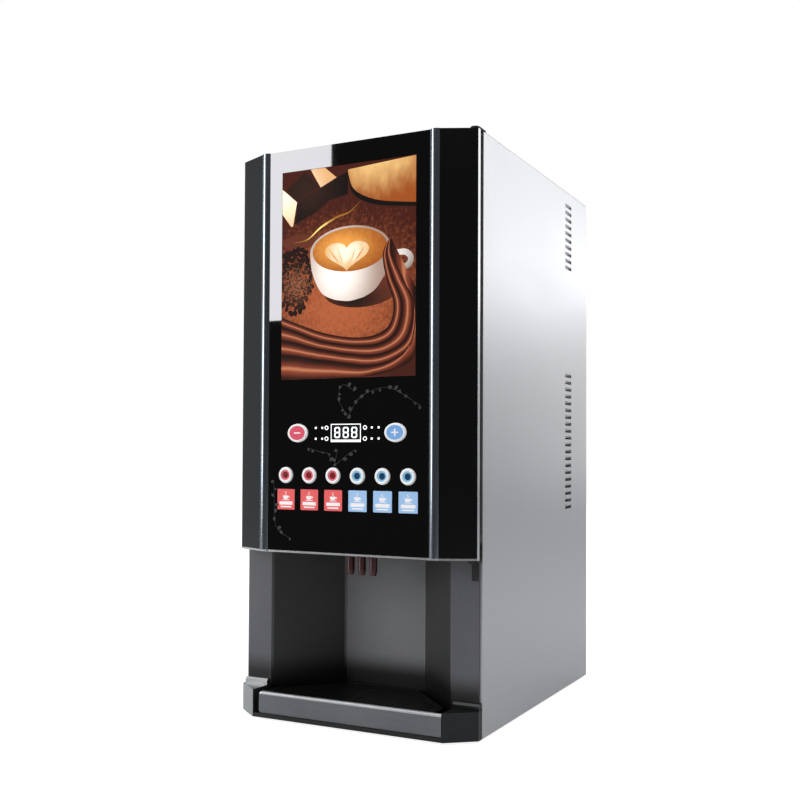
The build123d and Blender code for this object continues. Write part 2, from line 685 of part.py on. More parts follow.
def mixing_bowl():
    """Funnel over a round whipping chamber, with a spout below, centred on X."""
    funnel = turned([(0, 0), (15, 0), (20, 18), (33, 44), (33, 50), (0, 50)])
    funnel_space = turned([(0, 0), (13, 0), (18, 18.5), (31, 45), (31, 51), (0, 51)])
    place = Pos(0, MIXER_Y + 10, WHIPPER_Z + 10)
    body = place * funnel + rod_y(0, WHIPPER_Z, MIXER_Y - 12, -100, 23)
    body += post(0, MIXER_Y, 362, WHIPPER_Z, 7)
    body -= place * funnel_space
    body -= rod_y(0, WHIPPER_Z, MIXER_Y - 10, -102, 21)
    body -= rod_y(0, WHIPPER_Z, -103, -99, 5.5)
    return body - post(0, MIXER_Y, 361, WHIPPER_Z, 4)


def mixing_bowls():
    """The three mixing bowls in a row."""
    bowl = mixing_bowl()
    return Compound([Pos(x, 0, 0) * bowl for x in CANISTER_X])


def whipper(x):
    """Whipping wheel: a disc with six vanes on a hollow shaft."""
    wheel = rod_y(0, 0, -112, -110, 17) + rod_y(0, 0, -130, -99, 3.6)
    for step in range(6):
        wheel += Rot(0, 60 * step, 0) * block(3, 16.5, -122, -111, -0.9, 0.9)
    return Pos(x, 0, WHIPPER_Z) * wheel


def whipper_motors():
    """Fast motors behind the mixer panel."""
    motors = []
    for x in CANISTER_X:
        can = rod_y(x, WHIPPER_Z, -96.2, -52, 18) + rod_y(x, WHIPPER_Z, -98.2, -96, 9)
        motors.append(can + rod_y(x, WHIPPER_Z, -52, -47, 7))
    return Compound(motors)


def drink_hoses():
    """Soft hoses from the bowls down to the nozzle block."""
    hoses = []
    for start, end in zip(CANISTER_X, NOZZLE_X):
        route = [(start, MIXER_Y, 362), (start, MIXER_Y, 322), (end, HOSE_Y, 262), (end, HOSE_Y, 226)]
        path = FilletPolyline(*route, radius=22)
        section = Plane(origin=path @ 0, z_dir=path % 0) * RegularPolygon(5, 8)
        hoses.append(sweep(section, path=path))
    return Compound(hoses)


def boiler():
    """Upright water heater with domed ends, a flange and three short legs."""
    tank = turned([(0, 0), (30, 4), (42, 14), (45, 28), (45, 165), (49, 165), (49, 171), (45, 171),
                   (42, 180), (28, 190), (8, 194), (8, 206), (0, 206)])
    for step in range(3):
        tank += Rot(0, 0, 120 * step) * block(34, 42, -5, 5, -10, 30)
    return Pos(80, 20, FOOT + SHEET + 10) * tank


def pump():
    """Vibrating pump on its saddle."""
    floor = FOOT + SHEET
    body = rod_x(150, 42, 20, 70, 18) + rod_x(150, 42, 4, 20, 9) + rod_x(150, 42, 70, 90, 7)
    return body + block(28, 62, 136, 164, floor, 34)


def valve_block():
    """Hot water manifold with three valve coils, hung from the shelf."""
    block_body = block(-66, 66, -34, -10, 318, 338) + block(-66, 66, -10, -8, 318, SHELF_TOP - 1.5)
    for x in (-45, 0, 45):
        block_body += post(x, -22, 338, 376, 11)
        block_body += rod_y(x, 328, -46, -34, 4.5)
    return block_body


def power_supply():
    """Vented steel case on the chassis floor."""
    case = block(-150, -60, 40, 160, FOOT + SHEET, 58)
    slots = []
    for row in range(9):
        y = 52 + row * 12
        slots.append(block(-144, -66, y - 2, y + 2, 56, 60))
    return case - slots


def main_board():
    """Control board on stand-offs on the left wall, with its heat sink and connectors."""
    board = block(-150, -148.4, -20, 118, 250, 400)
    for y in (-12, 110):
        for z in (258, 392):
            board += rod_x(y, z, 0.1 - HALF + SHEET, -150, 3)
    for fin in range(6):
        board += block(-148.4, -126, 60 + fin * 8, 63 + fin * 8, 340, 380)
    board += block(-148.4, -144, 58, 106, 338, 382)
    for y in (0, 40, 80):
        board += block(-148.4, -138, y, y + 28, 262, 274)
    return board


def power_inlet():
    """Three-pin mains inlet with its fuse drawer, recessed in the back."""
    flange = block(-128, -92, REAR_PLATE + SHEET, REAR_PLATE + 3.4, 46, 74)
    flange = fillet(flange.edges().filter_by(Axis.Y), 3)
    body = flange + block(-123.6, -96.4, 196, REAR_PLATE + 2, 50.4, 69.6)
    body -= block(-121, -99, 204, BACK + 1, 53, 67)
    for x, z in ((-117, 58), (-103, 58), (-110, 62)):
        body += block(x - 0.8, x + 0.8, 203, 220, z - 2, z + 2)
    return body


def water_fittings():
    """Bulkhead fittings for the water inlet and the drain."""
    fittings = []
    for x, radius in ((90, 9.6), (120, 8.0)):
        fitting = rod_y(x, 60, 190, BACK - 0.4, radius)
        nut = Pos(x, 218, 60) * Rot(90, 0, 0) * extrude(RegularPolygon(14, 6), 6)
        fitting = fitting + nut
        fittings.append(fitting - rod_y(x, 60, 188, BACK + 1, radius - 2.5))
    return Compound(fittings)


# ---------------------------------------------------------------- all pieces

def pieces():
    """Every sub-part by its node name."""
    parts = {
        "cabinet_shell": cabinet_shell(),
        "rear_panel": rear_panel(),
        "rear_screws": rear_screws(),
        "base_pan": base_pan(),
        "feet": feet(),
        "bay_surround": bay_surround(),
        "corner_blocks": corner_blocks(),
        "drip_tray": drip_tray(),
        "drip_grille": drip_grille(),
        "nozzles": nozzles(),
        "nozzle_block": nozzle_block(),
        "hinge_brackets": hinge_brackets(),
        "lock_barrel": lock_barrel(),
        "lock_cam": lock_cam(),
        "lock_strike": lock_strike(),
        "door_frame": door_frame(),
        "edge_band": edge_band(),
        "corner_trims": corner_trims(),
        "front_panel": front_panel(),
        "poster": poster(),
        "light_box": light_box(),
        "display": display(),
        "indicator_lamps": indicator_lamps(),
        "drink_labels": drink_labels(),
        "control_board": control_board(),
        "inner_cover": inner_cover(),
        "door_gasket": door_gasket(),
        "setting_key_left": setting_key(-KEY_X),
        "setting_key_right": setting_key(KEY_X),
        "shelf": shelf(),
        "auger_motors": auger_motors(),
        "mixer_panel": mixer_panel(),
        "mixing_bowls": mixing_bowls(),
        "whipper_motors": whipper_motors(),
        "drink_hoses": drink_hoses(),
        "boiler": boiler(),
        "pump": pump(),
        "valve_block": valve_block(),
        "power_supply": power_supply(),
        "main_board": main_board(),
        "power_inlet": power_inlet(),
        "water_fittings": water_fittings(),
    }
    for number, x in enumerate(BUTTON_X, start=1):
        parts[f"drink_button_{number}"] = drink_button(x)
    for number, x in enumerate(CANISTER_X, start=1):
        parts[f"canister_{number}"] = canister(x)
        parts[f"canister_lid_{number}"] = canister_lid(x)
        parts[f"auger_{number}"] = auger(x)
        parts[f"whipper_{number}"] = whipper(x)
    return parts


os.makedirs("parts", exist_ok=True)
for name, piece in pieces().items():
    export_step(piece, f"parts/{name}.step")
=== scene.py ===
"""Looks for a hot coffee vending machine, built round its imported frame.

Each section below dresses or adds one piece, in the order in which the machine is put together.
"""

import random
from math import cos, pi, radians, sin

import bmesh
import bpy
from mathutils import Matrix, Vector


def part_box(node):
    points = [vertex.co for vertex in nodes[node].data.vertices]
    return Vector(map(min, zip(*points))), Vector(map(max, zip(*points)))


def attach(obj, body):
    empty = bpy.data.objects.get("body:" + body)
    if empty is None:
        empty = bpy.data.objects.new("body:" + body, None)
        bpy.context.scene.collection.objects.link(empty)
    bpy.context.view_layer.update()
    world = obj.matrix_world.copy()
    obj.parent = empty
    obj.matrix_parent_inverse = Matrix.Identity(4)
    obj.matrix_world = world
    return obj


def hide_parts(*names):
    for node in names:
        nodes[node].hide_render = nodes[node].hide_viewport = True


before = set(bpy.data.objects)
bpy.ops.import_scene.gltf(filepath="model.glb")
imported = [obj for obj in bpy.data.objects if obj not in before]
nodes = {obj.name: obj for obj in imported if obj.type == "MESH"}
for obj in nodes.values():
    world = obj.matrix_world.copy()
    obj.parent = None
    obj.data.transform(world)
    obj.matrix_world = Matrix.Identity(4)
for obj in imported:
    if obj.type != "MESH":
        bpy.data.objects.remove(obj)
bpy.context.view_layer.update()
scene = bpy.context.scene
scene.view_settings.view_transform = "Standard"


# ---------------------------------------------------------------- studio
# A pale floor under a white sky, and a lens at door height to the right of the machine. Softboxes
# behind it light the steel side, and others in front show in the black door and the bright trims.

def shade(code):
    """Linear colour of an sRGB code such as "c8853a"."""
    channels = [int(code[i:i + 2], 16) / 255 for i in (0, 2, 4)]
    linear = [c / 12.92 if c <= 0.04045 else ((c + 0.055) / 1.055) ** 2.4 for c in channels]
    return (*linear, 1.0)


def feed(tree, node, inputs):
    """Feed a node's inputs, each from a socket or with a plain value."""
    for name, value in dict(inputs).items():
        if isinstance(value, bpy.types.NodeSocket):
            tree.links.new(value, node.inputs[name])
        else:
            node.inputs[name].default_value = value


def add_node(tree, kind, inputs=(), **settings):
    """A new node with its settings made and its inputs fed."""
    node = tree.nodes.new(kind)
    for setting, value in settings.items():
        setattr(node, setting, value)
    feed(tree, node, inputs)
    return node


def new_material(name):
    """A material, its node tree and its shader."""
    material = bpy.data.materials.new(name)
    material.use_nodes = True
    return material, material.node_tree, material.node_tree.nodes["Principled BSDF"]


def stand_camera(place, azimuth, elevation, roll, lens, shift):
    """A camera turned by its azimuth and elevation seen from the machine, then rolled."""
    forward = Vector((-sin(azimuth) * cos(elevation), cos(azimuth) * cos(elevation), -sin(elevation)))
    level = Vector((cos(azimuth), sin(azimuth), 0))
    upright = level.cross(forward)
    right = level * cos(roll) + upright * sin(roll)
    up = right.cross(forward)
    data = bpy.data.cameras.new("camera")
    data.lens = lens
    data.sensor_width = 36
    data.shift_x = data.shift_y = shift
    camera = bpy.data.objects.new("camera", data)
    turn = Matrix((right, up, -forward)).transposed().to_4x4()
    camera.matrix_world = Matrix.Translation(place) @ turn
    scene.collection.objects.link(camera)
    return camera


def hang_light(name, place, aim, size, radiance, colour=(1, 1, 1), diffuse=True, lit=()):
    """A flat softbox of some width and height, aimed at a point, for all pieces or for the lit ones."""
    data = bpy.data.lights.new(name, "AREA")
    data.shape = "RECTANGLE"
    data.size, data.size_y = size
    data.energy = radiance * pi * size[0] * size[1]
    data.color = colour
    light = bpy.data.objects.new(name, data)
    facing = (Vector(aim) - Vector(place)).to_track_quat("-Z", "Y")
    light.matrix_world = Matrix.Translation(place) @ facing.to_matrix().to_4x4()
    light.visible_camera = False
    light.visible_diffuse = diffuse
    scene.collection.objects.link(light)
    if lit:
        receivers = bpy.data.collections.new(f"{name}_receivers")
        for node in lit:
            receivers.objects.link(nodes[node])
        light.light_linking.receiver_collection = receivers


def white_surroundings():
    """White to the lens, a dim horizon and a bright ceiling to everything else."""
    world = bpy.data.worlds.new("studio")
    world.use_nodes = True
    tree = world.node_tree
    coordinates = add_node(tree, "ShaderNodeTexCoord")
    split = add_node(tree, "ShaderNodeSeparateXYZ", {"Vector": coordinates.outputs["Generated"]})
    ramp = add_node(tree, "ShaderNodeValToRGB", {"Fac": split.outputs["Z"]})
    horizon, ceiling = ramp.color_ramp.elements
    horizon.color, horizon.position = (0.10, 0.10, 0.105, 1), 0.3
    ceiling.color, ceiling.position = (0.70, 0.71, 0.73, 1), 0.75
    path = add_node(tree, "ShaderNodeLightPath")
    seen = add_node(tree, "ShaderNodeMix",
                    {"Factor": path.outputs["Is Camera Ray"], "A": ramp.outputs["Color"],
                     "B": (1, 1, 1, 1)}, data_type="RGBA")
    feed(tree, tree.nodes["Background"], {"Color": seen.outputs["Result"]})
    return world


def pale_floor():
    """A seamless pale sheet under the machine, which the lens sees as white."""
    mesh = bpy.data.meshes.new("floor")
    corners = [(-3.0, -1.5, 0), (4.0, -1.5, 0), (4.0, 6.0, 0), (-3.0, 6.0, 0)]
    mesh.from_pydata(corners, [], [(0, 1, 2, 3)])
    material, tree, shader = new_material("floor_sheet")
    path = add_node(tree, "ShaderNodeLightPath")
    lift = add_node(tree, "ShaderNodeMath", {0: path.outputs["Is Camera Ray"], 1: 0.9},
                    operation="MULTIPLY")
    feed(tree, shader, {"Base Color": (0.5, 0.5, 0.505, 1), "Roughness": 0.7, "Specular IOR Level": 0.15,
                        "Emission Color": (1, 1, 1, 1), "Emission Strength": lift.outputs[0]})
    mesh.materials.append(material)
    floor = bpy.data.objects.new("floor", mesh)
    scene.collection.objects.link(floor)


scene.world = white_surroundings()
pale_floor()
scene.camera = stand_camera(Vector((0.612, -1.320, 0.323)), radians(27.82), radians(-1.43),
                            radians(0.31), lens=47.8, shift=0.0375)
hang_light("ceiling_softbox", (0.0, -0.3, 2.8), (0.0, -0.3, 0), (3.0, 3.0), 1.8)
hang_light("steel_softbox", (1.9, 3.6, 2.0), (0.2, 0.0, 0.5), (2.6, 2.0), 1.35)
hang_light("rear_softbox", (1.1, 4.0, 0.8), (0.2, 0.2, 0.3), (1.3, 1.3), 1.0)
hang_light("front_softbox", (-2.1, -1.8, 0.9), (0.0, -0.2, 0.35), (1.0, 1.5), 8.0)
hang_light("left_softbox", (-2.8, -0.1, 0.5), (0.0, -0.2, 0.4), (1.6, 2.0), 0.45, (0.86, 0.94, 1.0))
hang_light("trim_softbox", (-1.4, -2.3, 1.0), (-1.4, 0.0, 1.0), (0.7, 1.4), 0.7,
           lit=("corner_trims", "edge_band"))
hang_light("plinth_softbox", (-2.4, -0.4, 0.1), (0, -0.2, 0.1), (1.6, 0.8), 2.2, lit=("corner_blocks",))
hang_light("window_softbox", (-1.474, -2.0, 1.18), (-1.474, 0.0, 1.18), (0.852, 0.842), 18,
           (0.97, 0.96, 1.0), diffuse=False, lit=("front_panel",))


# ---------------------------------------------------------------- cabinet shell
# One sheet of brushed stainless steel bent over the top and down both sides. The brush lines run
# from front to back, and the louvres are pressed inwards through it.

def new_tree(name, kind, inputs, outputs):
    """A node group with its named sockets: the tree, what it is given, and its output node."""
    tree = bpy.data.node_groups.new(name, kind)
    for way, sockets in (("INPUT", inputs), ("OUTPUT", outputs)):
        for socket, holds in sockets.items():
            tree.interface.new_socket(socket, in_out=way, socket_type="NodeSocket" + holds)
    return tree, tree.nodes.new("NodeGroupInput").outputs, tree.nodes.new("NodeGroupOutput")


def calculate(tree, operation, *values):
    """The result of a Math node fed with sockets or numbers."""
    return add_node(tree, "ShaderNodeMath", enumerate(values), operation=operation).outputs[0]


def blend_colours(tree, factor, first, second, mode="MIX"):
    """The result of a Mix node fed with sockets or colours."""
    mix = add_node(tree, "ShaderNodeMix", {"Factor": factor, "A": first, "B": second},
                   data_type="RGBA", blend_type=mode)
    return mix.outputs["Result"]


def noise(tree, stretch, detail=3.0):
    """Noise on the piece's own coordinates, with a scale along each axis."""
    coordinates = add_node(tree, "ShaderNodeTexCoord")
    mapping = add_node(tree, "ShaderNodeMapping",
                       {"Vector": coordinates.outputs["Object"], "Scale": stretch})
    texture = add_node(tree, "ShaderNodeTexNoise",
                       {"Vector": mapping.outputs["Vector"], "Scale": 1.0, "Detail": detail})
    return texture.outputs["Fac"]


def swing(tree, pattern, amount):
    """A pattern's move away from its middle, times an amount."""
    return calculate(tree, "MULTIPLY", calculate(tree, "SUBTRACT", pattern, 0.5), amount)


def toned(tree, colour, tone):
    """A colour made darker or lighter by a tone."""
    grey = add_node(tree, "ShaderNodeCombineColor", {"Red": tone, "Green": tone, "Blue": tone})
    return blend_colours(tree, 1.0, colour, grey.outputs["Color"], "MULTIPLY")


def brushed_lines():
    """Group: fine lines along Y, slow cloudiness from handling, and finger marks in the gloss."""
    tree, given, end = new_tree(
        "brushed_lines", "ShaderNodeTree",
        {"Colour": "Color", "Line Scale": "Vector", "Contrast": "Float", "Roughness": "Float"}, surface)
    lines = noise(tree, given["Line Scale"], 5.0)
    clouds = noise(tree, (5, 3, 7), 2.0)
    depth = swing(tree, lines, given["Contrast"])
    tone = calculate(tree, "ADD", calculate(tree, "MULTIPLY_ADD", clouds, 0.10, 0.95), depth)
    wear = calculate(tree, "MULTIPLY_ADD", clouds, 0.12, -0.06)
    gloss = calculate(tree, "ADD", calculate(tree, "ADD", given["Roughness"], wear), depth)
    feed(tree, end, {"Color": toned(tree, given["Colour"], tone), "Roughness": gloss, "Height": lines})
    return tree


def finish(name, pattern, values, relief=0.1, depth=0.0001, glow=0.0, **sockets):
    """A material whose colour, gloss and relief, and glow if it has one, come from a pattern group."""
    material, tree, shader = new_material(name)
    made = add_node(tree, "ShaderNodeGroup", values, node_tree=pattern).outputs
    bump = add_node(tree, "ShaderNodeBump",
                    {"Strength": relief, "Distance": depth, "Height": made["Height"]})
    feed(tree, shader, {"Base Color": made["Color"], "Roughness": made["Roughness"],
                        "Normal": bump.outputs["Normal"]})
    if glow:
        feed(tree, shader, {"Emission Color": made["Color"], "Emission Strength": glow})
    feed(tree, shader, {socket.replace("_", " "): value for socket, value in sockets.items()})
    return material


def along_axes(scale):
    """The same scale along all three axes, unless three are given."""
    return scale if isinstance(scale, tuple) else (scale, scale, scale)


def metal(name, code, lines, contrast, roughness, relief=0.1):
    """Bare or plated metal, from its colour, its brush lines' scale and how much they show."""
    values = {"Colour": shade(code), "Line Scale": along_axes(lines), "Contrast": contrast,
              "Roughness": roughness}
    return finish(name, brushed, values, relief, Metallic=1.0)


def dress(material, *names):
    """Put one material on CAD pieces that keep their shape."""
    for name in names:
        for slot in nodes[name].material_slots:
            slot.material = material


surface = {"Color": "Color", "Roughness": "Float", "Height": "Float"}
brushed = brushed_lines()
stainless = metal("brushed_stainless", "d9dadd", lines=(900, 7, 900), contrast=0.12, roughness=0.36,
                  relief=0.05)
dress(stainless, "cabinet_shell")


# ---------------------------------------------------------------- rear panel
# A tray of galvanised sheet that closes the back. Zinc crystals show as a faint patchwork, and the
# vent slots sit high, behind the powder motors.

def zinc_spangle():
    """Group: flat crystals of slightly different grey."""
    tree, given, end = new_tree("zinc_spangle", "ShaderNodeTree",
                                {"Colour": "Color", "Crystal": "Float", "Roughness": "Float"}, surface)
    coordinates = add_node(tree, "ShaderNodeTexCoord")
    cells = add_node(tree, "ShaderNodeTexVoronoi",
                     {"Vector": coordinates.outputs["Object"], "Scale": given["Crystal"]})
    crystal = add_node(tree, "ShaderNodeSeparateColor", {"Color": cells.outputs["Color"]}).outputs
    tone = calculate(tree, "MULTIPLY_ADD", crystal["Red"], 0.22, 0.80)
    gloss = calculate(tree, "MULTIPLY_ADD", crystal["Green"], 0.14, given["Roughness"])
    feed(tree, end, {"Color": toned(tree, given["Colour"], tone), "Roughness": gloss,
                     "Height": crystal["Blue"]})
    return tree


galvanised = finish("galvanised_sheet", zinc_spangle(),
                    {"Colour": shade("b9bcbf"), "Crystal": 130.0, "Roughness": 0.38},
                    relief=0.04, Metallic=1.0)
dress(galvanised, "rear_panel", "shelf", "mixer_panel")


# ---------------------------------------------------------------- rear screws
# Ten zinc-plated pan-head screws hold the back on. Each head has a cross recess cut in it, and
# they are driven to slightly different angles.

def wall(made, near, far):
    """Faces between two closed loops of points."""
    for i in range(len(near)):
        j = (i + 1) % len(near)
        made.faces.new((near[i], near[j], far[j], far[i]))


def new_piece(name, made):
    """A new object from closed geometry, with all its faces turned outwards."""
    bmesh.ops.recalc_face_normals(made, faces=made.faces)
    if made.calc_volume(signed=True) < 0:
        bmesh.ops.reverse_faces(made, faces=made.faces)
    mesh = bpy.data.meshes.new(name)
    made.to_mesh(mesh)
    made.free()
    return bpy.data.objects.new(name, mesh)


def screw_head():
    """A domed head whose cross recess is four sunk wedges, made facing the back."""
    made = bmesh.new()
    steps, rim, top, recess_floor = 24, 0.0040, 0.00175, 0.0005
    turned = [(cos(2 * pi * s / steps), sin(2 * pi * s / steps)) for s in range(steps)]
    rings = []
    for radius, height in ((rim, 0.0), (rim, 0.0006), (0.0034, 0.0014), (0.0024, top)):
        rings.append([made.verts.new((radius * x, -height, radius * z)) for x, z in turned])
    lip = []
    for s, (x, z) in enumerate(turned):
        across = 0.0019 if s % 6 in (0, 1, 5) else 0.0006
        lip.append(made.verts.new((across * x, -top, across * z)))
    floor = [made.verts.new((v.co.x * 0.6, -recess_floor, v.co.z * 0.6)) for v in lip]
    loops = rings + [lip, floor]
    for near, far in zip(loops, loops[1:]):
        wall(made, near, far)
    made.faces.new(rings[0])
    made.faces.new(floor)
    head = new_piece("screw_head", made)
    head.data.transform(Matrix.Rotation(pi, 4, "Z"))
    return head


def random_number(tree, least, most, seed):
    """A random number for each point."""
    number = add_node(tree, "FunctionNodeRandomValue", {2: least, 3: most, "Seed": seed}, data_type="FLOAT")
    return number.outputs[1]


def turned_copies(tree, points, unit, angle, scale):
    """Copies of a unit piece on points, each turned about Y by its angle."""
    shape = add_node(tree, "GeometryNodeObjectInfo", {"Object": unit})
    about = add_node(tree, "ShaderNodeCombineXYZ", {"Y": angle})
    rotation = add_node(tree, "FunctionNodeEulerToRotation", {"Euler": about.outputs["Vector"]})
    copies = add_node(tree, "GeometryNodeInstanceOnPoints",
                      {"Points": points, "Instance": shape.outputs["Geometry"],
                       "Rotation": rotation.outputs["Rotation"], "Scale": scale})
    return copies.outputs["Instances"]


def hand_out(tree, end, shapes, material):
    """End a tree: its copies are made real and get their material."""
    real = add_node(tree, "GeometryNodeRealizeInstances", {"Geometry": shapes})
    coat = add_node(tree, "GeometryNodeSetMaterial",
                    {"Geometry": real.outputs["Geometry"], "Material": material})
    feed(tree, end, {"Geometry": coat.outputs["Geometry"]})


def layout_tree():
    """Geometry Nodes: a unit piece on every point, turned about Y by the point's own angle."""
    tree, given, end = new_tree(
        "set_out", "GeometryNodeTree",
        {"Geometry": "Geometry", "Unit": "Object", "Unit Scale": "Float", "Finish": "Material"}, shape_out)
    angle = add_node(tree, "GeometryNodeInputNamedAttribute", {"Name": "turn"}, data_type="FLOAT")
    copies = turned_copies(tree, given["Geometry"], given["Unit"], angle.outputs["Attribute"],
                           given["Unit Scale"])
    hand_out(tree, end, copies, given["Finish"])
    return tree


def run_nodes(name, mesh, tree, values):
    """Run a Geometry Nodes tree on a mesh with named inputs, and keep the result as a plain mesh."""
    piece = bpy.data.objects.new(name, mesh)
    scene.collection.objects.link(piece)
    modifier = piece.modifiers.new("nodes", "NODES")
    modifier.node_group = tree
    for socket in tree.interface.items_tree:
        if socket.item_type == "SOCKET" and socket.in_out == "INPUT" and socket.name in values:
            modifier[socket.identifier] = values[socket.name]
    depsgraph = bpy.context.evaluated_depsgraph_get()
    result = bpy.data.meshes.new_from_object(piece.evaluated_get(depsgraph), depsgraph=depsgraph)
    piece.modifiers.clear()
    piece.data = result
    return piece


def set_out(name, unit, places, material):
    """Copies of a unit piece at (x, y, z, angle) places, in metres and radians, as one mesh."""
    points = bpy.data.meshes.new(name + "_places")
    points.from_pydata([place[:3] for place in places], [], [])
    turn = points.attributes.new("turn", "FLOAT", "POINT")
    for value, place in zip(turn.data, places):
        value.value = place[3]
    scene.collection.objects.link(unit)
    piece = run_nodes(name, points, layout, {"Unit": unit, "Unit Scale": 1.0, "Finish": material})
    bpy.data.objects.remove(unit)
    return piece


def fit(piece, body, material=None):
    """Let a new piece move with its body, once it has its material and is in the scene."""
    if material:
        piece.data.materials.append(material)
        scene.collection.objects.link(piece)
    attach(piece, body)
    return piece


def drive_screws(name, body, places):
    """Screws with their heads to the back, each driven to its own angle."""
    places = [(*place, turns.uniform(0, pi / 2)) for place in places]
    return fit(set_out(name, screw_head(), places, screw_zinc), body)


shape_out = {"Geometry": "Geometry"}
layout = layout_tree()
turns = random.Random(4)
screw_zinc = metal("screw_zinc", "c3c5c4", lines=1500, contrast=0.08, roughness=0.3)
low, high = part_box("rear_screws")
screws = drive_screws("back_screws", "cabinet", [
    (x, low.y, z) for x in (low.x + 0.004, high.x - 0.004) for z in (0.040, 0.200, 0.360, 0.520, 0.680)])
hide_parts("rear_screws")


# ---------------------------------------------------------------- base pan and feet
# The chassis floor is folded steel with a black textured powder coat. Four moulded rubber pads
# stand under it.

def moulded_grain():
    """Group: the fine leathery grain and soft cloudiness of a moulded or coated surface."""
    tree, given, end = new_tree(
        "moulded_grain", "ShaderNodeTree",
        {"Colour": "Color", "Grain Scale": "Vector", "Mottle": "Float", "Roughness": "Float"}, surface)
    grain = noise(tree, given["Grain Scale"], 4.0)
    clouds = noise(tree, (9, 9, 6), 3.0)
    middle = calculate(tree, "ADD", calculate(tree, "MULTIPLY", grain, 0.5),
                       calculate(tree, "MULTIPLY", clouds, 0.5))
    tone = calculate(tree, "ADD", swing(tree, middle, given["Mottle"]), 1.0)
    gloss = calculate(tree, "MULTIPLY", given["Roughness"],
                      calculate(tree, "MULTIPLY_ADD", clouds, 0.6, 0.7))
    feed(tree, end, {"Color": toned(tree, given["Colour"], tone), "Roughness": gloss, "Height": grain})
    return tree


def moulded(name, code, grain, mottle, roughness, relief=0.1, **more):
    """A moulded or coated finish, from its colour, its grain's scale, its mottle and its roughness."""
    values = {"Colour": shade(code), "Grain Scale": along_axes(grain), "Mottle": mottle,
              "Roughness": roughness}
    return finish(name, grained, values, relief, **more)


grained = moulded_grain()
chassis_black = moulded("chassis_powder_coat", "111214", grain=1400, mottle=0.6, roughness=0.55,
                        relief=0.35)
rubber = moulded("foot_rubber", "0d0d0d", grain=500, mottle=0.5, roughness=0.85, relief=0.3)
dress(chassis_black, "base_pan", "power_supply")
dress(rubber, "feet")


# ---------------------------------------------------------------- cup bay
# The recess for the cup is one grey moulding with a leathery grain: two slanted walls, a flat back
# and a jamb on either side of the mouth. Painted shade darkens its jamb faces, its slanted walls and its
# foot.

def offset(tree, centre, size):
    """How far a point of the piece is from a centre along each axis, in the given sizes."""
    coordinates = add_node(tree, "ShaderNodeTexCoord")
    away = add_node(tree, "ShaderNodeVectorMath", {0: coordinates.outputs["Object"], 1: centre},
                    operation="SUBTRACT")
    sized = add_node(tree, "ShaderNodeVectorMath", {0: away.outputs["Vector"], 1: size}, operation="DIVIDE")
    return sized.outputs["Vector"]


def zone_mask():
    """Group: white inside a box given by its middle and its half size, with an edge as soft as asked."""
    tree, given, end = new_tree(
        "zone", "ShaderNodeTree",
        {"Middle": "Vector", "Half Size": "Vector", "Softness": "Float"}, {"Mask": "Float"})
    reach = add_node(tree, "ShaderNodeVectorMath", {0: offset(tree, given["Middle"], given["Half Size"])},
                     operation="ABSOLUTE")
    split = add_node(tree, "ShaderNodeSeparateXYZ", {"Vector": reach.outputs["Vector"]}).outputs
    widest = calculate(tree, "MAXIMUM", calculate(tree, "MAXIMUM", split["X"], split["Y"]), split["Z"])
    edge = add_node(tree, "ShaderNodeMapRange",
                    {"Value": widest, "From Min": calculate(tree, "SUBTRACT", 1.0, given["Softness"]),
                     "From Max": 1.0, "To Min": 1.0, "To Max": 0.0}, interpolation_type="SMOOTHSTEP")
    feed(tree, end, {"Mask": edge.outputs["Result"]})
    return tree


def tone_or_painted_shade_in_box(material, middle, half_size, code, softness=0.001):
    """Darken a finish inside one box: painted shade on the bay, the right plinth corner and the drawer
    face, and the basin's own black.
    """
    tree = material.node_tree
    shader = tree.nodes["Principled BSDF"]
    first = shader.inputs["Base Color"].links[0].from_socket
    mask = add_node(tree, "ShaderNodeGroup",
                    {"Middle": middle, "Half Size": half_size, "Softness": softness}, node_tree=zone)
    other = blend_colours(tree, 1.0, first, shade(code), "MULTIPLY")
    feed(tree, shader, {"Base Color": blend_colours(tree, mask.outputs["Mask"], first, other)})


zone = zone_mask()
# Boxes of painted shade: the jamb faces and slanted walls are darkened against a lifted base grey so the
# back wall reads lighter, and the foot fades softly to near black.
jamb_painted_shade = ((0, -0.2075, 0.1), (0.2, 0.0195, 0.3))
slanted_wall_painted_shade = ((0, -0.1533, 0.12), (0.124, 0.0345, 0.2))
bay_foot_painted_shade = ((0, -0.14, 0.0), (0.4, 0.13, 0.078))
bay_grey = moulded("bay_moulding", "7e7f82", grain=(420, 420, 260), mottle=0.7, roughness=0.36,
                   relief=0.4, depth=0.0002)
tone_or_painted_shade_in_box(bay_grey, *jamb_painted_shade, "bcbcc0")
tone_or_painted_shade_in_box(bay_grey, *slanted_wall_painted_shade, "70706c")
tone_or_painted_shade_in_box(bay_grey, *bay_foot_painted_shade, "1c1c1c", softness=0.4)
dress(bay_grey, "bay_surround")


# ---------------------------------------------------------------- plinth corners
# The two chamfered ends of the plinth are moulded plastic with a silver lacquer. The right-hand
# one is darkened with painted shade.

plinth_silver = moulded("silver_lacquer", "b4b6b7", grain=(700, 700, 300), mottle=0.35, roughness=0.3,
                        relief=0.15, Metallic=0.95)
# Painted shade: the right-hand block is darkened as if turned away from the light.
right_corner_painted_shade = ((0.15, -0.2, 0), (0.06, 0.1, 0.1))
tone_or_painted_shade_in_box(plinth_silver, *right_corner_painted_shade, "58595a")
dress(plinth_silver, "corner_blocks")


# ---------------------------------------------------------------- drip tray and grille
# The drawer front is pewter lacquer over a moulding and has been wiped from side to side. Its
# basin and the grille that the cup stands on are satin black.

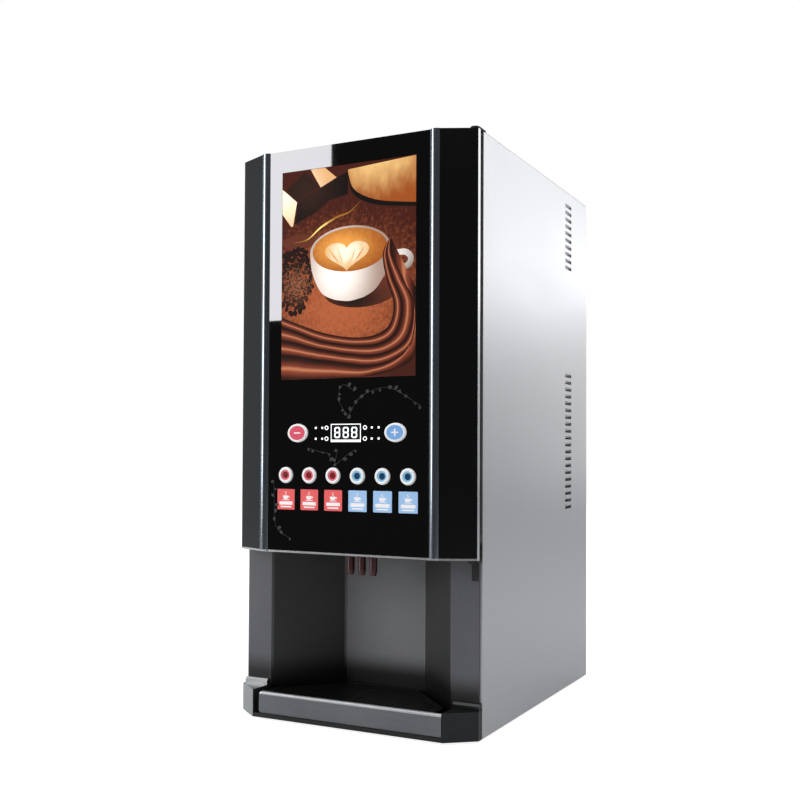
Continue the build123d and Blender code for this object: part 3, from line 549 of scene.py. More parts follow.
tray_grey = moulded("tray_lacquer", "c4c6c8", grain=(60, 500, 700), mottle=0.7, roughness=0.34,
                    relief=0.25, Metallic=0.5)
grille_black = moulded("grille_enamel", "030303", grain=300, mottle=0.6, roughness=0.42,
                       Specular_IOR_Level=0.2)
tray_low, tray_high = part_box("drip_tray")
basin = ((0, tray_low.y + 0.055, 0.02), (0.2, 0.050, 0.1))
# Painted shade on the drawer face below its top edge, which leaves the rounded top edge as a painted
# highlight.
tray_face_painted_shade = ((0, tray_low.y, tray_high.z - 0.053), (0.2, 0.004, 0.050))
tone_or_painted_shade_in_box(tray_grey, *basin, "161616")
tone_or_painted_shade_in_box(tray_grey, *tray_face_painted_shade, "9a9c9e")
dress(tray_grey, "drip_tray")
dress(grille_black, "drip_grille")


# ---------------------------------------------------------------- drink nozzles
# Three burgundy nozzles are pushed up into a block that the hoses plug into.

nozzle_red = moulded("nozzle_burgundy", "4a161a", grain=(500, 500, 80), mottle=0.6, roughness=0.22,
                     Coat_Weight=0.5)
block_black = moulded("nozzle_block_black", "141415", grain=900, mottle=0.5, roughness=0.45, relief=0.2)
dress(nozzle_red, "nozzles")
dress(block_black, "nozzle_block")


# ---------------------------------------------------------------- hinges, lock and catch
# Pressed hinge plates with pins, a chromed key lock flush with the left side, and the zinc-plated
# cam and catch that it works.

plated = metal("zinc_plate", "a9abac", lines=300, contrast=0.10, roughness=0.32)
chrome = metal("lock_chrome", "e2e4e6", lines=(80, 900, 900), contrast=0.05, roughness=0.14)
dress(chassis_black, "hinge_brackets")
dress(plated, "lock_cam", "lock_strike")
dress(chrome, "lock_barrel")


# ---------------------------------------------------------------- door shell
# The door is a folded sheet with slanted corners, sprayed gloss black. Fine orange peel in the
# paint breaks up what it reflects.

door_paint = moulded("door_gloss_paint", "060708", grain=160, mottle=0.4, roughness=0.16,
                     relief=0.06, Specular_IOR_Level=0.4)
dress(door_paint, "door_frame")


# ---------------------------------------------------------------- edge band and corner trims
# The edge strips and the bottom cap are polished aluminium. The two ridges beside the front panel
# are satin anodised extrusions, drawn along their length.

bright_edge = metal("polished_aluminium", "d6d7d8", lines=(900, 900, 12), contrast=0.08, roughness=0.26)
satin_trim = metal("satin_aluminium", "868e95", lines=(1600, 1600, 6), contrast=0.12, roughness=0.2)
dress(bright_edge, "edge_band")
dress(satin_trim, "corner_trims")


# ---------------------------------------------------------------- front panel
# The panel is black acrylic with a mirror polish, so it shows only what stands before it and a
# trace of haze from wiping.

acrylic = moulded("black_acrylic", "010101", grain=4, mottle=0.5, roughness=0.02, relief=0.0)
dress(acrylic, "front_panel")


# ---------------------------------------------------------------- printed vine
# A grey vine with small leaves is screen printed on the panel round the controls. Stems follow
# smooth curves, and leaves of different sizes stand along them at all angles.

def vine_tree():
    """Geometry Nodes: a thin stem along each curve, with leaves at even spacing."""
    tree, given, end = new_tree(
        "vine", "GeometryNodeTree",
        {"Geometry": "Geometry", "Leaf": "Object", "Stem Radius": "Float", "Leaf Spacing": "Float",
         "Leaf Size": "Float", "Seed": "Int", "Ink": "Material"}, shape_out)
    line = add_node(tree, "GeometryNodeMeshToCurve", {"Mesh": given["Geometry"]}).outputs["Curve"]
    smooth = add_node(tree, "GeometryNodeSubdivideCurve", {"Curve": line, "Cuts": 2})
    profile = add_node(tree, "GeometryNodeCurvePrimitiveCircle",
                       {"Resolution": 6, "Radius": given["Stem Radius"]})
    stem = add_node(tree, "GeometryNodeCurveToMesh",
                    {"Curve": smooth.outputs["Curve"], "Profile Curve": profile.outputs["Curve"],
                     "Fill Caps": True})
    spots = add_node(tree, "GeometryNodeResampleCurve", {"Curve": line, "Length": given["Leaf Spacing"]},
                     mode="LENGTH")
    turn = random_number(tree, 0.0, 2 * pi, given["Seed"])
    growth = calculate(tree, "MULTIPLY", random_number(tree, 0.55, 1.0, given["Seed"]), given["Leaf Size"])
    leaves = turned_copies(tree, spots.outputs["Curve"], given["Leaf"], turn, growth)
    both = add_node(tree, "GeometryNodeJoinGeometry", {"Geometry": leaves})
    feed(tree, both, {"Geometry": stem.outputs["Mesh"]})
    hand_out(tree, end, both.outputs["Geometry"], given["Ink"])
    return tree


def flat_piece(name, outlines, front, back):
    """Flat prisms between two Y planes, from outlines of (x, z) points."""
    made = bmesh.new()
    for outline in outlines:
        near, far = ([made.verts.new((x, y, z)) for x, z in outline] for y in (front, back))
        made.faces.new(near)
        made.faces.new(far[::-1])
        wall(made, far, near)
    return new_piece(name, made)


def arch(points, steps):
    """A smooth line through a few control points, as a Catmull-Rom curve."""
    padded = [points[0], *points, points[-1]]
    line = []
    for a, b, c, d in zip(padded, padded[1:], padded[2:], padded[3:]):
        for step in range(steps):
            t = step / steps
            line.append(tuple(
                0.5 * (2 * q + (r - p) * t + (2 * p - 5 * q + 4 * r - s) * t * t
                       + (3 * q - p - 3 * r + s) * t ** 3)
                for p, q, r, s in zip(a, b, c, d)))
    return line + [points[-1]]


panel_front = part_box("front_panel")[0].y
stems = (((0.002, 0.368), (0.019, 0.392), (0.047, 0.403), (0.068, 0.399), (0.098, 0.381)),
         ((0.002, 0.372), (-0.008, 0.386), (-0.010, 0.398), (-0.003, 0.408), (0.011, 0.400)),
         ((-0.014, 0.316), (-0.011, 0.331)),
         ((-0.012, 0.314), (0.000, 0.323), (0.012, 0.331)),
         ((-0.021, 0.317), (-0.024, 0.326), (-0.038, 0.329), (-0.052, 0.333)),
         ((-0.1, 0.293), (-0.099, 0.263), (-0.096, 0.236), (-0.078, 0.224)))
vertices = []
edges = []
for stem in stems:
    line = arch(stem, 10)
    edges += [(len(vertices) + i, len(vertices) + i + 1) for i in range(len(line) - 1)]
    vertices += [(x, panel_front, z) for x, z in line]
stem_lines = bpy.data.meshes.new("vine_lines")
stem_lines.from_pydata(vertices, edges, [])
leaf_length, leaf_half_width = 0.0032, 0.0011
leaf_outline = [(leaf_length * t, side * leaf_half_width * sin(pi * t))
                for side, steps in ((1, (0, 0.2, 0.4, 0.6, 0.8, 1.0)), (-1, (0.8, 0.6, 0.4, 0.2)))
                for t in steps]
leaf = flat_piece("leaf", [leaf_outline], -0.00006, 0.0)
scene.collection.objects.link(leaf)
vine_ink = moulded("vine_ink", "1e1f20", grain=900, mottle=0.8, roughness=0.5)
vine = run_nodes("printed_vine", stem_lines, vine_tree(),
                 {"Leaf": leaf, "Stem Radius": 0.0003, "Leaf Spacing": 0.009, "Leaf Size": 2.1,
                  "Seed": 3, "Ink": vine_ink})
bpy.data.objects.remove(leaf)
fit(vine, "door")


# ---------------------------------------------------------------- poster
# The lit window holds a printed film of a coffee cup, chocolate and beans. Its shapes are laid on
# the film as thin coats of ink, each a little in front of the last, and glow from behind.

def printed_tone():
    """Group: a soft spot of light ink fading into dark ink, mottled like powder or froth."""
    tree, given, end = new_tree(
        "printed_tone", "ShaderNodeTree",
        {"Light": "Color", "Dark": "Color", "Centre": "Vector", "Reach": "Vector", "Mottle": "Float",
         "Mottle Scale": "Vector"}, {"Color": "Color"})
    reach = add_node(tree, "ShaderNodeVectorMath", {0: offset(tree, given["Centre"], given["Reach"])},
                     operation="LENGTH")
    mottle = swing(tree, noise(tree, given["Mottle Scale"], 6.0), given["Mottle"])
    fade = add_node(tree, "ShaderNodeMapRange",
                    {"Value": calculate(tree, "ADD", reach.outputs["Value"], mottle)},
                    interpolation_type="SMOOTHSTEP")
    feed(tree, end, {"Color": blend_colours(tree, fade.outputs["Result"], given["Light"], given["Dark"])})
    return tree


def light_through(tree, shader, colour, glow):
    """Matt print with light behind it."""
    feed(tree, shader, {"Base Color": colour, "Emission Color": colour, "Emission Strength": glow,
                        "Roughness": 0.6, "Specular IOR Level": 0.1})


def lit_ink(name, light, dark, spot, reach, mottle=0.2, scale=300, glow=0.75):
    """Translucent ink, lightest at one spot of the film and darker within its reach in X and Z."""
    material, tree, shader = new_material(name)
    x, z = on_film(*spot)
    group = add_node(tree, "ShaderNodeGroup",
                     {"Light": shade(light), "Dark": shade(dark), "Centre": (x, film_low.y, z),
                      "Reach": (reach[0], 1, reach[1]), "Mottle": mottle,
                      "Mottle Scale": along_axes(scale)}, node_tree=printed)
    light_through(tree, shader, group.outputs["Color"], glow)
    return material


def on_film(u, v):
    """A place on the film in metres, from fractions of its width and height."""
    return film_low.x + u * (film_high.x - film_low.x), film_low.z + v * (film_high.z - film_low.z)


def oval(u, v, wide, tall, first=0.0, last=2 * pi, steps=64):
    """Points round an ellipse, in fractions of the film."""
    return [(u + wide * cos(first + (last - first) * s / steps),
             v + tall * sin(first + (last - first) * s / steps)) for s in range(steps)]


def print_shape(name, layer, outlines, ink):
    """One coat of ink in its layer, from outlines in fractions of the film."""
    outlines = [[on_film(u, v) for u, v in outline] for outline in outlines]
    piece = flat_piece(name, outlines, film_low.y - coat_step * layer, ink_root)
    return fit(piece, "door", ink)


film_low, film_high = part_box("poster")
coat_step = 0.00002
ink_root = film_low.y + 0.00001
printed = printed_tone()
powder = lit_ink("cocoa_powder", "a05431", "3c150c", (0.45, 0.33), (0.16, 0.13), 0.9, 260, glow=0.65)
dress(powder, "poster")

blocks = lit_ink("chocolate_dark", "2a1710", "0a0503", (0.2, 0.9), (0.06, 0.05), 0.5)
cream = lit_ink("block_cream", "f6e6c8", "c99a68", (0.02, 0.9), (0.07, 0.06), 0.25)
print_shape("poster_block_faces", 2, [
    ((0.0, 0.92), (0.115, 0.85), (0.085, 0.735), (0.07, 0.735), (0.0, 0.80)),
    ((0.22, 0.999), (0.33, 0.999), (0.42, 0.945), (0.30, 0.905))], cream)
print_shape("poster_block_tops", 3, [
    ((0.035, 0.915), (0.175, 0.99), (0.29, 0.915), (0.12, 0.855)),
    ((0.12, 0.85), (0.42, 0.945), (0.505, 0.965), (0.505, 0.86), (0.36, 0.84), (0.26, 0.79),
     (0.10, 0.745))], blocks)

glass_ink = lit_ink("iced_coffee", "d8b070", "8a4418", (0.72, 1.02), (0.09, 0.055), 0.5, (120, 120, 60))
glass_rim = arch([(0.505, 0.965), (0.54, 0.89), (0.62, 0.845), (0.76, 0.81), (0.999, 0.785)], 8)
print_shape("poster_glass", 3, [glass_rim + [(0.999, 0.999), (0.51, 0.975)]], glass_ink)
print_shape("poster_glass_shadow", 2, [
    glass_rim + [(u, v - 0.018 - 0.02 * (1 - u)) for u, v in glass_rim[::-1]]], blocks)

gold = lit_ink("gold_line", "f6d77a", "8a5a1c", (0.3, 0.70), (0.03, 0.02), 0.3)
wave = arch([(0.09, 0.655), (0.2, 0.665), (0.3, 0.715), (0.42, 0.755), (0.52, 0.775), (0.60, 0.82)], 10)
swell = [sin(pi * i / (len(wave) - 1)) for i in range(len(wave))]
upper = [(u, v + 0.006 * full) for (u, v), full in zip(wave, swell)]
lower = [(u, v - 0.004 * full - 0.0005) for (u, v), full in zip(wave, swell)]
print_shape("poster_wave", 4, [upper + lower[::-1]], gold)

shadow = lit_ink("cup_shadow", "1a0d08", "55281a", (0.55, 0.36), (0.07, 0.03), 0.3)
print_shape("poster_cup_shadow", 2, [oval(0.60, 0.40, 0.27, 0.075), oval(0.13, 0.655, 0.125, 0.035)],
            shadow)


# ---------------------------------------------------------------- poster: beans
# Roast beans lie in a heap beside the cup. Each is an oval with a dark slit, strewn with a fixed
# seed so that the heap is the same every time.

def strewn_tree():
    """Geometry Nodes: a unit strewn over a patch, each turned in its plane and sized at random."""
    tree, given, end = new_tree(
        "strewn", "GeometryNodeTree",
        {"Geometry": "Geometry", "Unit": "Object", "Density": "Float", "Spacing": "Float",
         "Seed": "Int", "Ink": "Material"}, shape_out)
    spots = add_node(tree, "GeometryNodeDistributePointsOnFaces",
                     {"Mesh": given["Geometry"], "Density Max": given["Density"],
                      "Distance Min": given["Spacing"], "Seed": given["Seed"]},
                     distribute_method="POISSON")
    copies = turned_copies(tree, spots.outputs["Points"], given["Unit"],
                           random_number(tree, 0.0, 2 * pi, given["Seed"]),
                           random_number(tree, 0.75, 1.2, 0))
    hand_out(tree, end, copies, given["Ink"])
    return tree


def strew(name, outline, ink, layer):
    """Shapes strewn over the heap's patch of the film, one coat thick."""
    front = film_low.y - coat_step * layer
    patch = [on_film(u, v) for u, v in heap]
    field = bpy.data.meshes.new(name + "_patch")
    field.from_pydata([(x, front, z) for x, z in patch], [], [tuple(range(len(patch)))])
    unit = flat_piece(name + "_unit", [outline], -0.00001, 0.00002)
    scene.collection.objects.link(unit)
    piece = run_nodes(name, field, strewing, {"Unit": unit, "Density": 4e5, "Spacing": 0.0046,
                                              "Seed": 5, "Ink": ink})
    bpy.data.objects.remove(unit)
    return fit(piece, "door")


strewing = strewn_tree()
heap = ((0.01, 0.60), (0.17, 0.63), (0.22, 0.54), (0.24, 0.45), (0.18, 0.36), (0.12, 0.30), (0.01, 0.33))
bean_ink = lit_ink("roast_beans", "7a4a34", "150806", (0.12, 0.45), (0.03, 0.03), 2.2, 420)
slit_ink = lit_ink("bean_slits", "0d0503", "2a1209", (0.12, 0.45), (0.05, 0.05), 0.5)
bean = [(0.0042 * cos(2 * pi * s / 14), 0.0029 * sin(2 * pi * s / 14)) for s in range(14)]
slit = [(0.0034 * t, edge + 0.0007 * sin(pi * t))
        for edge, steps in ((0.0004, (-1, -0.5, 0, 0.5, 1)), (-0.0004, (1, 0.5, 0, -0.5, -1)))
        for t in steps]
strew("poster_beans", bean, bean_ink, 3)
strew("poster_slits", slit, slit_ink, 5)


# ---------------------------------------------------------------- poster: cup of coffee
# A plain white cup with coffee in it and a heart poured in milk foam. The cup's side narrows to
# its foot, and the handle looks out on the right.

china = lit_ink("cup_china", "fbf3ea", "9a8074", (0.44, 0.50), (0.062, 0.075), 0.06, glow=0.62)
handle_ink = lit_ink("cup_handle", "c9c2bd", "6b5f58", (0.88, 0.56), (0.03, 0.03), 0.1)
crema = lit_ink("coffee_crema", "cf8d40", "8a4a1a", (0.47, 0.61), (0.06, 0.035), 0.35, 180, glow=0.9)
foam = lit_ink("milk_foam", "fbf1d8", "dcae72", (0.50, 0.59), (0.038, 0.024), 0.7, (160, 160, 90),
               glow=0.5)
outer = oval(0.90, 0.53, 0.085, 0.05, -pi / 2, pi / 2, 20)
inner = oval(0.90, 0.53, 0.045, 0.022, -pi / 2, pi / 2, 20)
print_shape("poster_handle", 3, [outer + [(0.78, 0.575), (0.78, 0.552)] + inner[::-1]
                                 + [(0.78, 0.50), (0.78, 0.48)]], handle_ink)
right_side = arch([(0.82, 0.595), (0.80, 0.50), (0.72, 0.41), (0.63, 0.372)], 8)
left_side = arch([(0.41, 0.368), (0.31, 0.405), (0.24, 0.50), (0.22, 0.595)], 8)
foot = arch([(0.63, 0.372), (0.52, 0.358), (0.41, 0.368)], 8)
print_shape("poster_cup_side", 4, [right_side + foot[1:-1] + left_side], china)
print_shape("poster_cup_rim", 5, [oval(0.52, 0.595, 0.30, 0.115)], china)
print_shape("poster_crema", 6, [oval(0.52, 0.598, 0.28, 0.102)], crema)
heart = []
for step in range(60):
    t = 2 * pi * step / 60
    across = 16 * sin(t) ** 3 / 16
    up = (13 * cos(t) - 5 * cos(2 * t) - 2 * cos(3 * t) - cos(4 * t)) / 15
    heart.append((0.50 + 0.165 * across, 0.578 + 0.072 * up))
print_shape("poster_heart", 7, [heart], foam)
print_shape("poster_crema_veins", 8, [
    [(0.50 + side * (0.035 + 0.05 * t) + w, 0.535 + 0.075 * t)
     for t, w in ((0, 0), (0.5, 0.004 * side), (1, 0), (0.5, -0.004 * side))]
    for side in (-1.6, -0.8, 0.8, 1.6)], crema)


# ---------------------------------------------------------------- poster: poured chocolate
# Molten chocolate runs off the cup's rim, widens down the right side and sweeps across the foot of
# the picture in folds. Each fold is a ribbon shaded across its width.

def chocolate():
    """Ink shaded across a ribbon by its own UV: dark edges and a soft highlight on each fold."""
    material, tree, shader = new_material("poured_chocolate")
    place = add_node(tree, "ShaderNodeUVMap", uv_map="across")
    split = add_node(tree, "ShaderNodeSeparateXYZ", {"Vector": place.outputs["UV"]})
    drift = calculate(tree, "MULTIPLY_ADD", noise(tree, (18, 18, 18), 2.0), 0.3, -0.15)
    ramp = add_node(tree, "ShaderNodeValToRGB",
                    {"Fac": calculate(tree, "ADD", split.outputs["Y"], drift)})
    stops = ((0.0, "0e0402"), (0.2, "32130a"), (0.42, "6a3020"), (0.54, "a86a4a"), (0.66, "743624"),
             (0.88, "40180d"), (1.0, "140603"))
    band = ramp.color_ramp.elements
    band[0].color, band[1].color = shade(stops[0][1]), shade(stops[-1][1])
    for position, code in stops[1:-1]:
        band.new(position).color = shade(code)
    light_through(tree, shader, ramp.outputs["Color"], 0.75)
    return material


def fold(name, layer, one_edge, other_edge, ink):
    """A thin closed ribbon between two smooth edges, with its UV running along and across it."""
    made = bmesh.new()
    across = made.loops.layers.uv.new("across")
    front = film_low.y - coat_step * layer
    rows = []
    for (u0, v0), (u1, v1) in zip(arch(one_edge, 10), arch(other_edge, 10)):
        (x0, z0), (x1, z1) = on_film(min(u0, film_side), v0), on_film(min(u1, film_side), v1)
        rows.append([made.verts.new((x0 + (x1 - x0) * t, front, z0 + (z1 - z0) * t))
                     for t in (0, 0.25, 0.5, 0.75, 1)])
    for i, (near, far) in enumerate(zip(rows, rows[1:])):
        for j in range(4):
            face = made.faces.new((near[j], far[j], far[j + 1], near[j + 1]))
            for loop, along, over in zip(face.loops, (i, i + 1, i + 1, i), (j, j, j + 1, j + 1)):
                loop[across].uv = (along / len(rows), over / 4)
    bmesh.ops.remove_doubles(made, verts=made.verts, dist=1e-7)
    empty = [face for face in made.faces if face.calc_area() < 1e-10]
    bmesh.ops.delete(made, geom=empty, context="FACES")
    back = bmesh.ops.extrude_face_region(made, geom=made.faces[:], use_keep_orig=True)["geom"]
    for point in back:
        if isinstance(point, bmesh.types.BMVert):
            point.co.y = ink_root
    return fit(new_piece(name, made), "door", ink)


film_side = 0.999
melted = chocolate()
edges_of_folds = (
    [(0.82, 0.64), (0.765, 0.565), (0.79, 0.45), (0.843, 0.33), (0.80, 0.225), (0.62, 0.185),
     (0.33, 0.215), (0.001, 0.30)],
    [(0.82, 0.64), (0.79, 0.565), (0.83, 0.45), (0.90, 0.33), (0.85, 0.195), (0.66, 0.145),
     (0.33, 0.175), (0.001, 0.255)],
    [(0.82, 0.64), (0.825, 0.56), (0.90, 0.45), (0.985, 0.33), (0.93, 0.165), (0.70, 0.10),
     (0.33, 0.135), (0.001, 0.19)],
    [(0.999, 0.40), (0.999, 0.36), (0.999, 0.33), (0.999, 0.26), (0.96, 0.13), (0.72, 0.055),
     (0.33, 0.085), (0.001, 0.12)],
    [(0.999, 0.18), (0.999, 0.15), (0.999, 0.11), (0.95, 0.06), (0.80, 0.02), (0.60, 0.001),
     (0.33, 0.001), (0.001, 0.001)])
for number, (one, other) in enumerate(zip(edges_of_folds, edges_of_folds[1:]), start=1):
    fold(f"poster_fold_{number}", 9 - number // 3, one, other, melted)
deep = lit_ink("deep_chocolate", "7a3524", "38170f", (0.2, 0.02), (0.12, 0.03), 0.3)
print_shape("poster_pool", 4, [((0.001, 0.13), (0.33, 0.10), (0.72, 0.07), (0.999, 0.19),
                                (0.999, 0.001), (0.001, 0.001))], deep)


# ---------------------------------------------------------------- light box
# A white tray behind the film carries four upright rows of lamps.

tray_white = moulded("light_box_white", "e8e6e0", grain=400, mottle=0.15, roughness=0.5)
dress(tray_white, "light_box")


# ---------------------------------------------------------------- number display
# The window shows three seven-bar figures in white light, inside a white printed frame with a
# thick bottom bar.

def glowing(name, code, glow):
    """A lit part, or a printed part given a painted glow, with a little unevenness in its light."""
    return moulded(name, code, grain=300, mottle=0.15, roughness=0.4, relief=0.05, glow=glow)


def bar_outline(x, z, length, thick, standing):
    """A six-sided bar of a figure, lying or standing."""
    a, b = length / 2, thick / 2
    points = [(-a, 0), (-a + b, b), (a - b, b), (a, 0), (a - b, -b), (-a + b, -b)]
    return [(x - q, z + p) if standing else (x + p, z + q) for p, q in points]


def figure_eight(x, z, wide, tall, thick):
    """The seven bars of one figure."""
    bars = [bar_outline(x, z + row * tall / 2, wide, thick, False) for row in (-1, 0, 1)]
    bars += [bar_outline(x + side * wide / 2, z + up * tall / 4, tall / 2, thick, True)
             for side in (-1, 1) for up in (-1, 1)]
    return bars


def rectangle(left, low, right, high):
    """The four corners between two sides and two heights."""
    return [(left, low), (right, low), (right, high), (left, high)]


def frame_outline(x, z, wide, tall, thick):
    """Four bars round a window; the lower one is three times as thick."""
    left, right, low, high = x - wide / 2, x + wide / 2, z - tall / 2, z + tall / 2
    foot, top = low + 3 * thick, high - thick
    return [rectangle(left, top, right, high), rectangle(left, low, right, foot),
            rectangle(left, foot, left + thick, top), rectangle(right - thick, foot, right, top)]


dark_lens = moulded("display_lens", "0a0a0b", grain=200, mottle=0.4, roughness=0.25, relief=0.05)
dress(dark_lens, "display")
lit_white = glowing("figure_light", "f4f6f8", 0.9)
lens_low, lens_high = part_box("display")
lens_front = lens_low.y
middle = (lens_low.z + lens_high.z) / 2
figures = [bar for x in (-0.0115, 0.0, 0.0115)
           for bar in figure_eight(x, middle + 0.0005, wide=0.0062, tall=0.0115, thick=0.0017)]
digits = flat_piece("display_figures", figures, lens_front - 0.00012, lens_front)
fit(digits, "door", lit_white)
# The printed frame shares the figures' light: a painted glow, since it is print and no lamp.
border = flat_piece("display_border", frame_outline(0, middle, wide=0.0405, tall=0.0215, thick=0.0009),
                    lens_front - 0.0001, lens_front)
fit(border, "door", lit_white)


# ---------------------------------------------------------------- indicator lamps
# Four round lamps with white rings stand by the display, and eight small square marks are printed
# further out. The rings and marks are each one unit set out in rows.

def lathe(name, profile, steps):
    """A turned piece whose closed (radius, height) outline is spun about Y, height to the front."""
    made = bmesh.new()
    rings = []
    for step in range(steps):
        angle = 2 * pi * step / steps
        rings.append([made.verts.new((r * cos(angle), -h, r * sin(angle))) for r, h in profile])
    for near, far in zip(rings, rings[1:] + rings[:1]):
        wall(made, near, far)
    bmesh.ops.remove_doubles(made, verts=made.verts, dist=1e-6)
    bmesh.ops.dissolve_degenerate(made, edges=made.edges, dist=1e-7)
    return new_piece(name, made)


def on_panel(columns, rows):
    """Places on the front panel, row by row, none of them turned."""
    return [(x, panel_front, z, 0.0) for z in rows for x in columns]


lamp_rows = (0.344, 0.357)
lamp_places = on_panel((-0.026, 0.026), lamp_rows)
ring_unit = lathe("lamp_ring", [(0.0017, 0.0), (0.0026, 0.0), (0.0026, 0.0003), (0.0022, 0.00045),
                                (0.0017, 0.0003)], steps=28)
# The rings glow with the display's white light, a painted glow, while the lamps inside them stay dark.
rings = fit(set_out("lamp_rings", ring_unit, lamp_places, lit_white), "door")
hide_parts("indicator_lamps")
bulb_unit = lathe("lamp_bulb", [(0.0, -0.004), (0.00165, -0.004), (0.00165, 0.0001), (0.001, 0.0004),
                                (0.0, 0.0005)], steps=20)
clear_lamp = moulded("lamp_clear", "1b1c1e", grain=400, mottle=0.3, roughness=0.12, relief=0.05,
                     Coat_Weight=0.6)
fit(set_out("lamp_bulbs", bulb_unit, lamp_places, clear_lamp), "door")
# The printed marks also glow with the display's white light, as painted glow.
mark_unit = flat_piece("mark", [rectangle(-0.0012, -0.0012, 0.0012, 0.0012)], -0.0001, 0.0)
mark_places = on_panel((-0.041, -0.032, 0.035, 0.044), lamp_rows)
fit(set_out("lamp_marks", mark_unit, mark_places, lit_white), "door")


# ---------------------------------------------------------------- drink labels
# Six vinyl stickers, three red for hot drinks and three blue for cool ones. Each carries the same
# white cup, a wisp of steam and two bars in place of words.

def rounded_square(wide, tall, radius):
    """Outline of a rectangle with rounded corners, centred on the origin."""
    outline = []
    for cx, cz, first in ((1, 1, 0), (-1, 1, 1), (-1, -1, 2), (1, -1, 3)):
        for step in range(5):
            angle = pi / 2 * (first + step / 4)
            outline.append((cx * (wide / 2 - radius) + radius * cos(angle),
                            cz * (tall / 2 - radius) + radius * sin(angle)))
    return outline


def label_icon():
    """Cup, saucer, steam and two bars, one print thick."""
    cup = [(-0.0045, 0.0045), (0.0035, 0.0045), (0.0028, 0.0015), (0.0012, 0.0004), (-0.0022, 0.0004),
           (-0.0038, 0.0015)]
    ear = [(0.0032, 0.0040), (0.0052, 0.0038), (0.0052, 0.0022), (0.0030, 0.0016), (0.0030, 0.0023),
           (0.0043, 0.0026), (0.0043, 0.0033), (0.0032, 0.0034)]
    saucer = [(-0.0055, -0.0002), (0.0055, -0.0002), (0.0040, -0.0010), (-0.0040, -0.0010)]
    line = arch([(-0.0015, 0.0052), (0.0005, 0.0066), (-0.0012, 0.0080), (0.0010, 0.0096)], 6)
    steam = [(x - 0.0004, z) for x, z in line] + [(x + 0.0005, z) for x, z in line[::-1]]
    bars = [rectangle(-wide, z - tall, wide, z)
            for wide, z, tall in ((0.0092, -0.0026, 0.0040), (0.0075, -0.0082, 0.0016))]
    return flat_piece("icon", [cup, ear, saucer, steam] + bars, -0.00016, -0.0001)


button_x = (-0.0825, -0.0495, -0.0165, 0.0165, 0.0495, 0.0825)
label_rows = (0.2705,)
# The stickers and their white print get a faint painted glow, as if lit from within.
for colour, code, columns in (("red", "e65858", button_x[:3]), ("blue", "9cc2ea", button_x[3:])):
    plate = flat_piece("plate", [rounded_square(0.0244, 0.0249, 0.001)], -0.0001, 0.0)
    sticker = glowing(f"sticker_{colour}", code, 0.2)
    fit(set_out(f"labels_{colour}", plate, on_panel(columns, label_rows), sticker),
                         "door")
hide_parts("drink_labels")
sticker_white = glowing("sticker_white", "f6f2f2", 0.2)
fit(set_out("label_icons", label_icon(), on_panel(button_x, label_rows), sticker_white),
    "door")


# ---------------------------------------------------------------- drink buttons and setting keys
# Each push button is moulded in three colours: a white rim, a tinted ring and a dark dished
# middle. The two oval keys have a white rim round one tint, with a raised plus or minus.

def ringed_cap():
    """Group: three rings of colour about a centre, seen from the front."""
    tree, given, end = new_tree(
        "ringed_cap", "ShaderNodeTree",
        {"Centre": "Vector", "Half Size": "Vector", "Middle": "Float", "Rim": "Float",
         "Middle Colour": "Color", "Ring Colour": "Color", "Rim Colour": "Color", "Gloss": "Float"},
        surface)
    reach = add_node(tree, "ShaderNodeVectorMath", {0: offset(tree, given["Centre"], given["Half Size"])},
                     operation="LENGTH").outputs["Value"]
    inside = calculate(tree, "LESS_THAN", reach, given["Middle"])
    within = calculate(tree, "LESS_THAN", reach, given["Rim"])
    outer = blend_colours(tree, within, given["Rim Colour"], given["Ring Colour"])
    speck = noise(tree, (700, 700, 700), 3.0)
    feed(tree, end, {"Color": blend_colours(tree, inside, outer, given["Middle Colour"]),
                     "Roughness": calculate(tree, "MULTIPLY_ADD", speck, 0.1, given["Gloss"]),
                     "Height": speck})
    return tree


def cap_finish(name, x, z, half_size, middle_share, rim_share, colours):
    """Moulded cap material with its rings centred on one button, and a faint painted glow."""
    middle, ring, rim = (shade(code) for code in colours)
    values = {"Centre": (x, -0.222, z), "Half Size": half_size, "Middle": middle_share,
              "Rim": rim_share, "Middle Colour": middle, "Ring Colour": ring, "Rim Colour": rim,
              "Gloss": 0.22}
    return finish(name, ringed, values, relief=0.03, glow=0.12)


ringed = ringed_cap()
cap_white = "fbfbfb"
button_z, key_z = 0.300, 0.351
for number, x in enumerate(button_x, start=1):
    tints = ("7a0a14", "e06a78", cap_white) if number < 4 else ("0c3a5e", "8fc6e6", cap_white)
    cap = cap_finish(f"button_cap_{number}", x, button_z, (0.0096, 10.0, 0.0096), 0.42, 0.66, tints)
    dress(cap, f"drink_button_{number}")
sign_reach, sign_half = 0.0045, 0.0008
for side, x, tint in (("left", -0.066, "e2526a"), ("right", 0.066, "7fb0ea")):
    cap = cap_finish(f"key_cap_{side}", x, key_z, (0.014, 10.0, 0.011), 0.5, 0.78,
                     (tint, tint, cap_white))
    dress(cap, f"setting_key_{side}")
    key_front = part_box(f"setting_key_{side}")[0].y
    signs = [rectangle(x - sign_reach, key_z - sign_half, x + sign_reach, key_z + sign_half)]
    if side == "right":
        signs += [rectangle(x - sign_half, key_z + sign_half, x + sign_half, key_z + sign_reach),
                  rectangle(x - sign_half, key_z - sign_reach, x + sign_half, key_z - sign_half)]
    sign = flat_piece(f"key_sign_{side}", signs, key_front - 0.0001, key_front)
    fit(sign, f"setting_key_{side}", sticker_white)


# ---------------------------------------------------------------- control board, inner cover, gasket
# Behind the panel sits a green circuit board. A pressed cover closes the back of the door with
# eight screws, and a foam seal runs round it.

